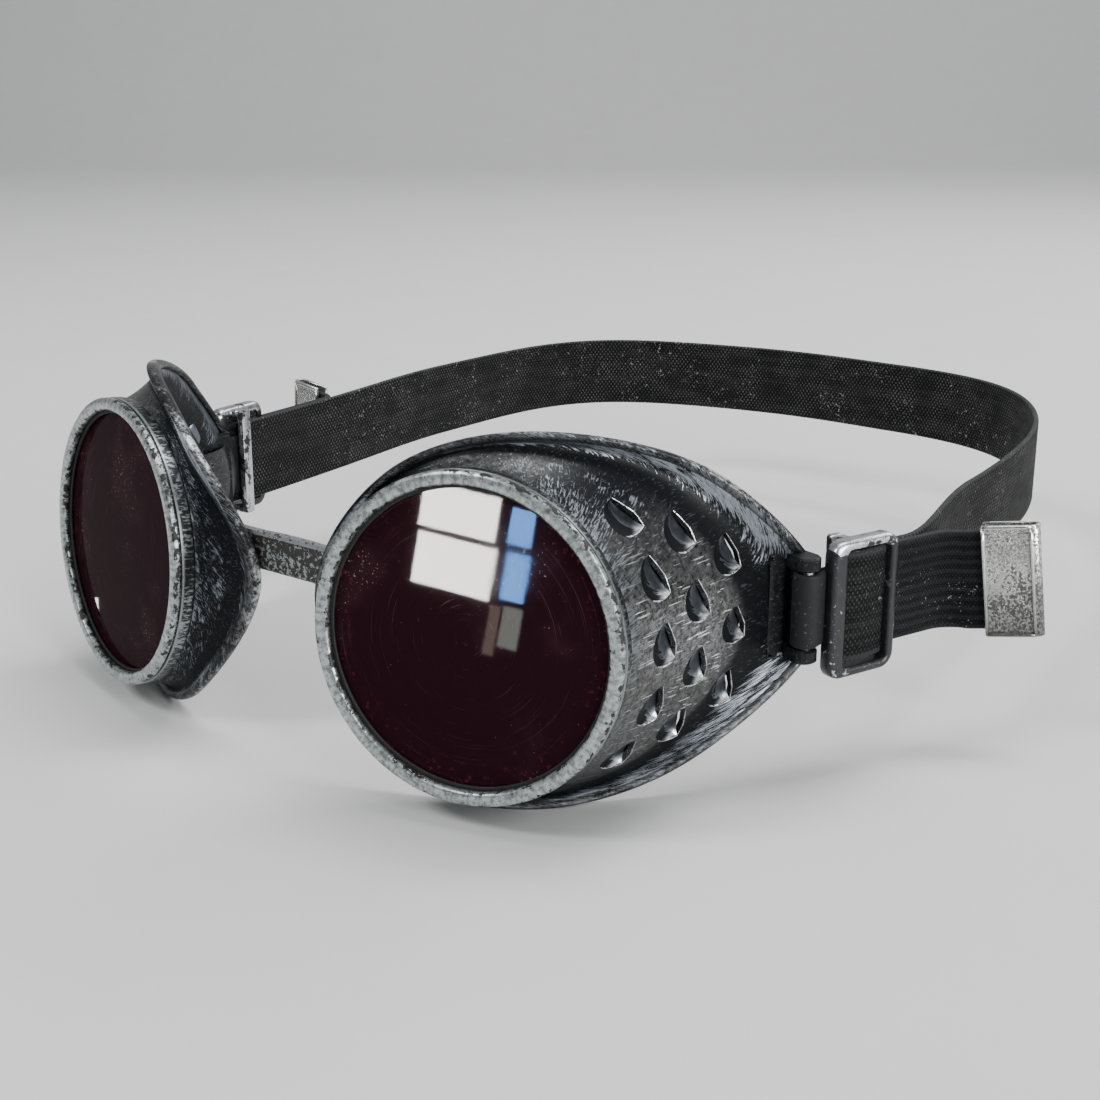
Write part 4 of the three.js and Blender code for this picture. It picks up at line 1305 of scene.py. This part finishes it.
def tail_clip(name):
    """Folded plate over the webbing's end, with a raised border round each face."""
    end = StrapEnd(name)
    _, _, tip, ahead, rise = tail_route(end)
    out = np.array([-ahead[1], ahead[0], 0])
    along = np.append(ahead * math.cos(rise), math.sin(rise))
    up = np.cross(along, out)
    axes = np.stack([along, out, up * np.sign(up[2])])
    centre = np.append(tip, STRAP_Z + end.side["tail"][3] * math.tan(rise))
    plan = clip_plan()
    rows = []
    for z, inset in ((-CLIP_HALF, 0.12), (-CLIP_HALF + 0.15, 0), (CLIP_HALF - 0.15, 0), (CLIP_HALF, 0.12)):
        level = np.column_stack([plan * (1, 1 - inset / CLIP_OUTSIDE), np.full(len(plan), z)])
        rows.append(centre + level @ axes)
    piece = Piece()
    piece.grid(np.stack(rows), [0] * 4, [0] * (len(plan) + 1), wrap_v=True)
    count = len(plan) // 2
    for row, flip in ((rows[0], False), (rows[-1], True)):
        strip = np.stack([row[:count], row[count:][::-1]])
        piece.grid(strip, [0, 0], [1] * count, flip=flip)
    edge = CLIP_HALF - 0.3
    for y in (-1.62, 1.62):
        corners = np.array([(-8.4, y, -edge), (-8.4, y, edge), (0.1, y, edge), (0.1, y, -edge)])
        for start, stop in zip(corners, np.roll(corners, -1, axis=0)):
            tube(piece, centre + np.linspace(start, stop, 9) @ axes, 0.36, sides=8, taper=0.9, mark=1)
    finish(piece, "tail_clip", "clip_silver", name, f"{name}_tail")


def head_strap():
    """The webbing round the head, from one slider to the other."""
    left, right = StrapEnd("left"), StrapEnd("right")
    mirror = np.array([-1, 1])
    leave = left.at(STRAIGHT_END, -LAYER)
    arrive = right.at(STRAIGHT_END, -LAYER) * mirror
    runs = [
        np.array([left.at(SEAM_INNER, -LAYER), leave]),
        bezier([leave, left.at(STRAIGHT_END + 7, -LAYER), CHEEK + (1.3, -15), CHEEK], 60),
        bezier([CHEEK, CHEEK + (-3.5, 48), BACK + (58, 1.5), BACK], 90),
        bezier([BACK, BACK + (-73, 2), BULGE + (-2.5, 48), BULGE], 90),
        bezier([BULGE, BULGE + (1, -23), right.at(STRAIGHT_END + 20, -LAYER) * mirror, arrive], 60),
        np.array([arrive, right.at(SEAM_INNER, -LAYER) * mirror]),
    ]
    path = resampled(np.concatenate(runs), 1.0)
    length = lengths_along(path)
    ahead = length[-1] - length
    near_end = 1 - np.minimum(smoothstep(length, 16, 54), smoothstep(ahead, 16, 80))
    loose = smoothstep(length, 25, 60) * smoothstep(ahead, 25, 60)
    piece = Piece()
    heights = STRAP_Z * near_end + 0.12 * np.sin(length / 11) * loose
    tape(piece, path, tape_section(WEB_WIDTH, WEB_SHEET), heights)
    finish(piece, "head_strap_webbing", "webbing", nodes=["head_strap"])


# ---- stage ----
PANE_AWAY = 0.1
WINDOW_TILT = math.radians(6)
WINDOW_CENTRE = (-2.5, 16.5)
DAY, SKY, WOOD, GROUND = (1, 0.97, 0.91), (0.16, 0.42, 1.0), (0.9, 0.72, 0.6), (0.72, 0.8, 0.72)
WINDOW = (
    (-9.8, 4.7, 17.9, 25.6, 10000, DAY), (-10.0, 4.9, 7.8, 16.9, 10000, DAY),
    (6.9, 11.3, 18.4, 24.6, 5200, SKY), (6.9, 11.2, 8.8, 17.1, 5200, SKY),
    (4.9, 6.9, -1.5, 7.4, 480, WOOD), (7.4, 11.0, 0.5, 7.8, 870, GROUND),
)
STAGE_TURN = math.radians(38.6)
MIDDLE = (0.02, 0.06, 0)
SOFTBOXES = (
    ("key", (-0.35, -0.75, 0.85), MIDDLE, (0.28, 0.28), 6.0),
    ("fill", (0.75, -0.30, 0.42), MIDDLE, (0.16, 0.5), 3.5),
    ("rim", (0.65, 0.05, 0.14), MIDDLE, (0.3, 0.2), 5.0),
    ("back", (0.3, 1.0, 0.7), MIDDLE, (0.9, 0.4), 5),
    ("top", (0.0, 0.1, 1.1), MIDDLE, (0.7, 0.7), 3.6),
    ("backdrop", (0.2, 0.5, 1.4), (-1.0, 1.6, 0.1), (0.8, 0.8), 17),
)
CAMERA_LENS = 53.62
CAMERA_PLACE = Vector((211.08, -190.74, 86.77)) * MM
CAMERA_TARGET = Vector((63.42, -5.5, 14.96)) * MM


def stage():
    """A pale floor that sweeps up into a wall behind the object."""
    corner = [(1.6 + 0.8 * math.sin(a), 0.8 - 0.8 * math.cos(a)) for a in np.linspace(0.1, 1.5, 12)]
    profile = [(-2.5, 0), (1.6, 0)] + corner + [(2.42, 3)]
    turn = Matrix.Rotation(STAGE_TURN, 3, "Z")
    lowest = Vector((0, 0, cad_box[0][2]))
    verts = [turn @ Vector((x, y, z)) + lowest for y, z in profile for x in (-3, 3)]
    faces = [(2 * k, 2 * k + 1, 2 * k + 3, 2 * k + 2) for k in range(len(profile) - 1)]
    mesh = bpy.data.meshes.new("floor")
    mesh.from_pydata(verts, [], faces)
    mesh.shade_smooth()
    mesh.materials.append(LOOKS["floor"])
    new_object("floor", mesh)


def area_light(name, size, power, colour=(1, 1, 1)):
    data = bpy.data.lights.new(name, "AREA")
    data.shape = "RECTANGLE"
    data.size, data.size_y = size
    data.energy = power
    data.color = colour
    return new_object(name, data)


def softbox(name, place, target, size, power):
    lamp = area_light(name, size, power)
    lamp.location = place
    lamp.rotation_euler = (Vector(target) - Vector(place)).to_track_quat("-Z", "Y").to_euler()
    return lamp


def lens_pane(name, side, left, right, low, high, power, colour, away=PANE_AWAY):
    """A lamp that the camera sees mirrored in one cover lens, between these places on it in millimetres.

    The power is for each square metre, and only that lens is lit."""
    eye = np.array(bpy.context.scene.camera.location)
    across = np.array([SIDES[side]["sign"], 1, 1])
    normal = -LENS[:3, 1] * across
    c, s = math.cos(WINDOW_TILT), math.sin(WINDOW_TILT)

    def mirrored_place(x, z):
        dx, dz = x - WINDOW_CENTRE[0], z - WINDOW_CENTRE[1]
        tilted = (WINDOW_CENTRE[0] + c * dx + s * dz, COVER_FRONT, WINDOW_CENTRE[1] - s * dx + c * dz, 1)
        spot = ((LENS @ tilted)[:3] * across + TO_ROW) * MM
        ray = unit(spot - eye)
        return Vector(spot + away * (ray - 2 * (ray @ normal) * normal))

    corners = [mirrored_place(x, z) for x in (left, right) for z in (low, high)]
    centre = sum(corners, Vector()) / 4
    wide = (corners[2] + corners[3] - corners[0] - corners[1]) / 2
    tall = (corners[1] + corners[3] - corners[0] - corners[2]) / 2
    size = wide.length, tall.length
    lamp = area_light(name, size, power * size[0] * size[1], colour)
    back = wide.cross(tall).normalized()
    if back.dot(centre) < 0:
        back = -back
    x_axis = wide.normalized()
    turn = Matrix((x_axis, back.cross(x_axis), back)).transposed().to_4x4()
    lamp.matrix_world = Matrix.Translation(centre) @ turn
    lamp.visible_camera = False
    lamp.visible_diffuse = False
    lit = bpy.data.collections.new(name)
    lit.objects.link(bpy.data.objects[f"cover_lens_{side}"])
    lamp.light_linking.receiver_collection = lit


def lights():
    """The window mirrored in the left lens, a glint in the right one, and the studio's soft light."""
    for k, pane in enumerate(WINDOW):
        lens_pane(f"window_{k}", "left", *pane)
    lens_pane("glint", "right", 17.6, 19.2, -16.5, -13.6, 400, DAY, away=0.05)
    lamps = {box[0]: softbox(*box) for box in SOFTBOXES}
    lamps["rim"].visible_diffuse = False
    world = bpy.data.worlds.new("studio")
    world.use_nodes = True
    world.node_tree.nodes["Background"].inputs["Color"].default_value = (0.8, 0.82, 0.85, 1)
    world.node_tree.nodes["Background"].inputs["Strength"].default_value = 0.25
    bpy.context.scene.world = world


def camera():
    """The photo's viewpoint."""
    data = bpy.data.cameras.new("camera")
    data.lens = CAMERA_LENS
    data.sensor_width = 36
    data.clip_start = 0.01
    made = new_object("camera", data)
    made.location = CAMERA_PLACE
    made.rotation_euler = (CAMERA_TARGET - CAMERA_PLACE).to_track_quat("-Z", "Y").to_euler()
    bpy.context.scene.camera = made


camera()
stage()
eye_cups()
bridge()
for name in SIDES:
    rivet(name)
head_strap()
for name in SIDES:
    for make_piece in (lens_stack, pin, loop_tape, slider, window_webbing, strap_end, tail_clip):
        make_piece(name)
    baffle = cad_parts[f"{name}_vent_baffle"].data
    baffle.materials.clear()
    baffle.materials.append(LOOKS["black_sheet"])
lights()
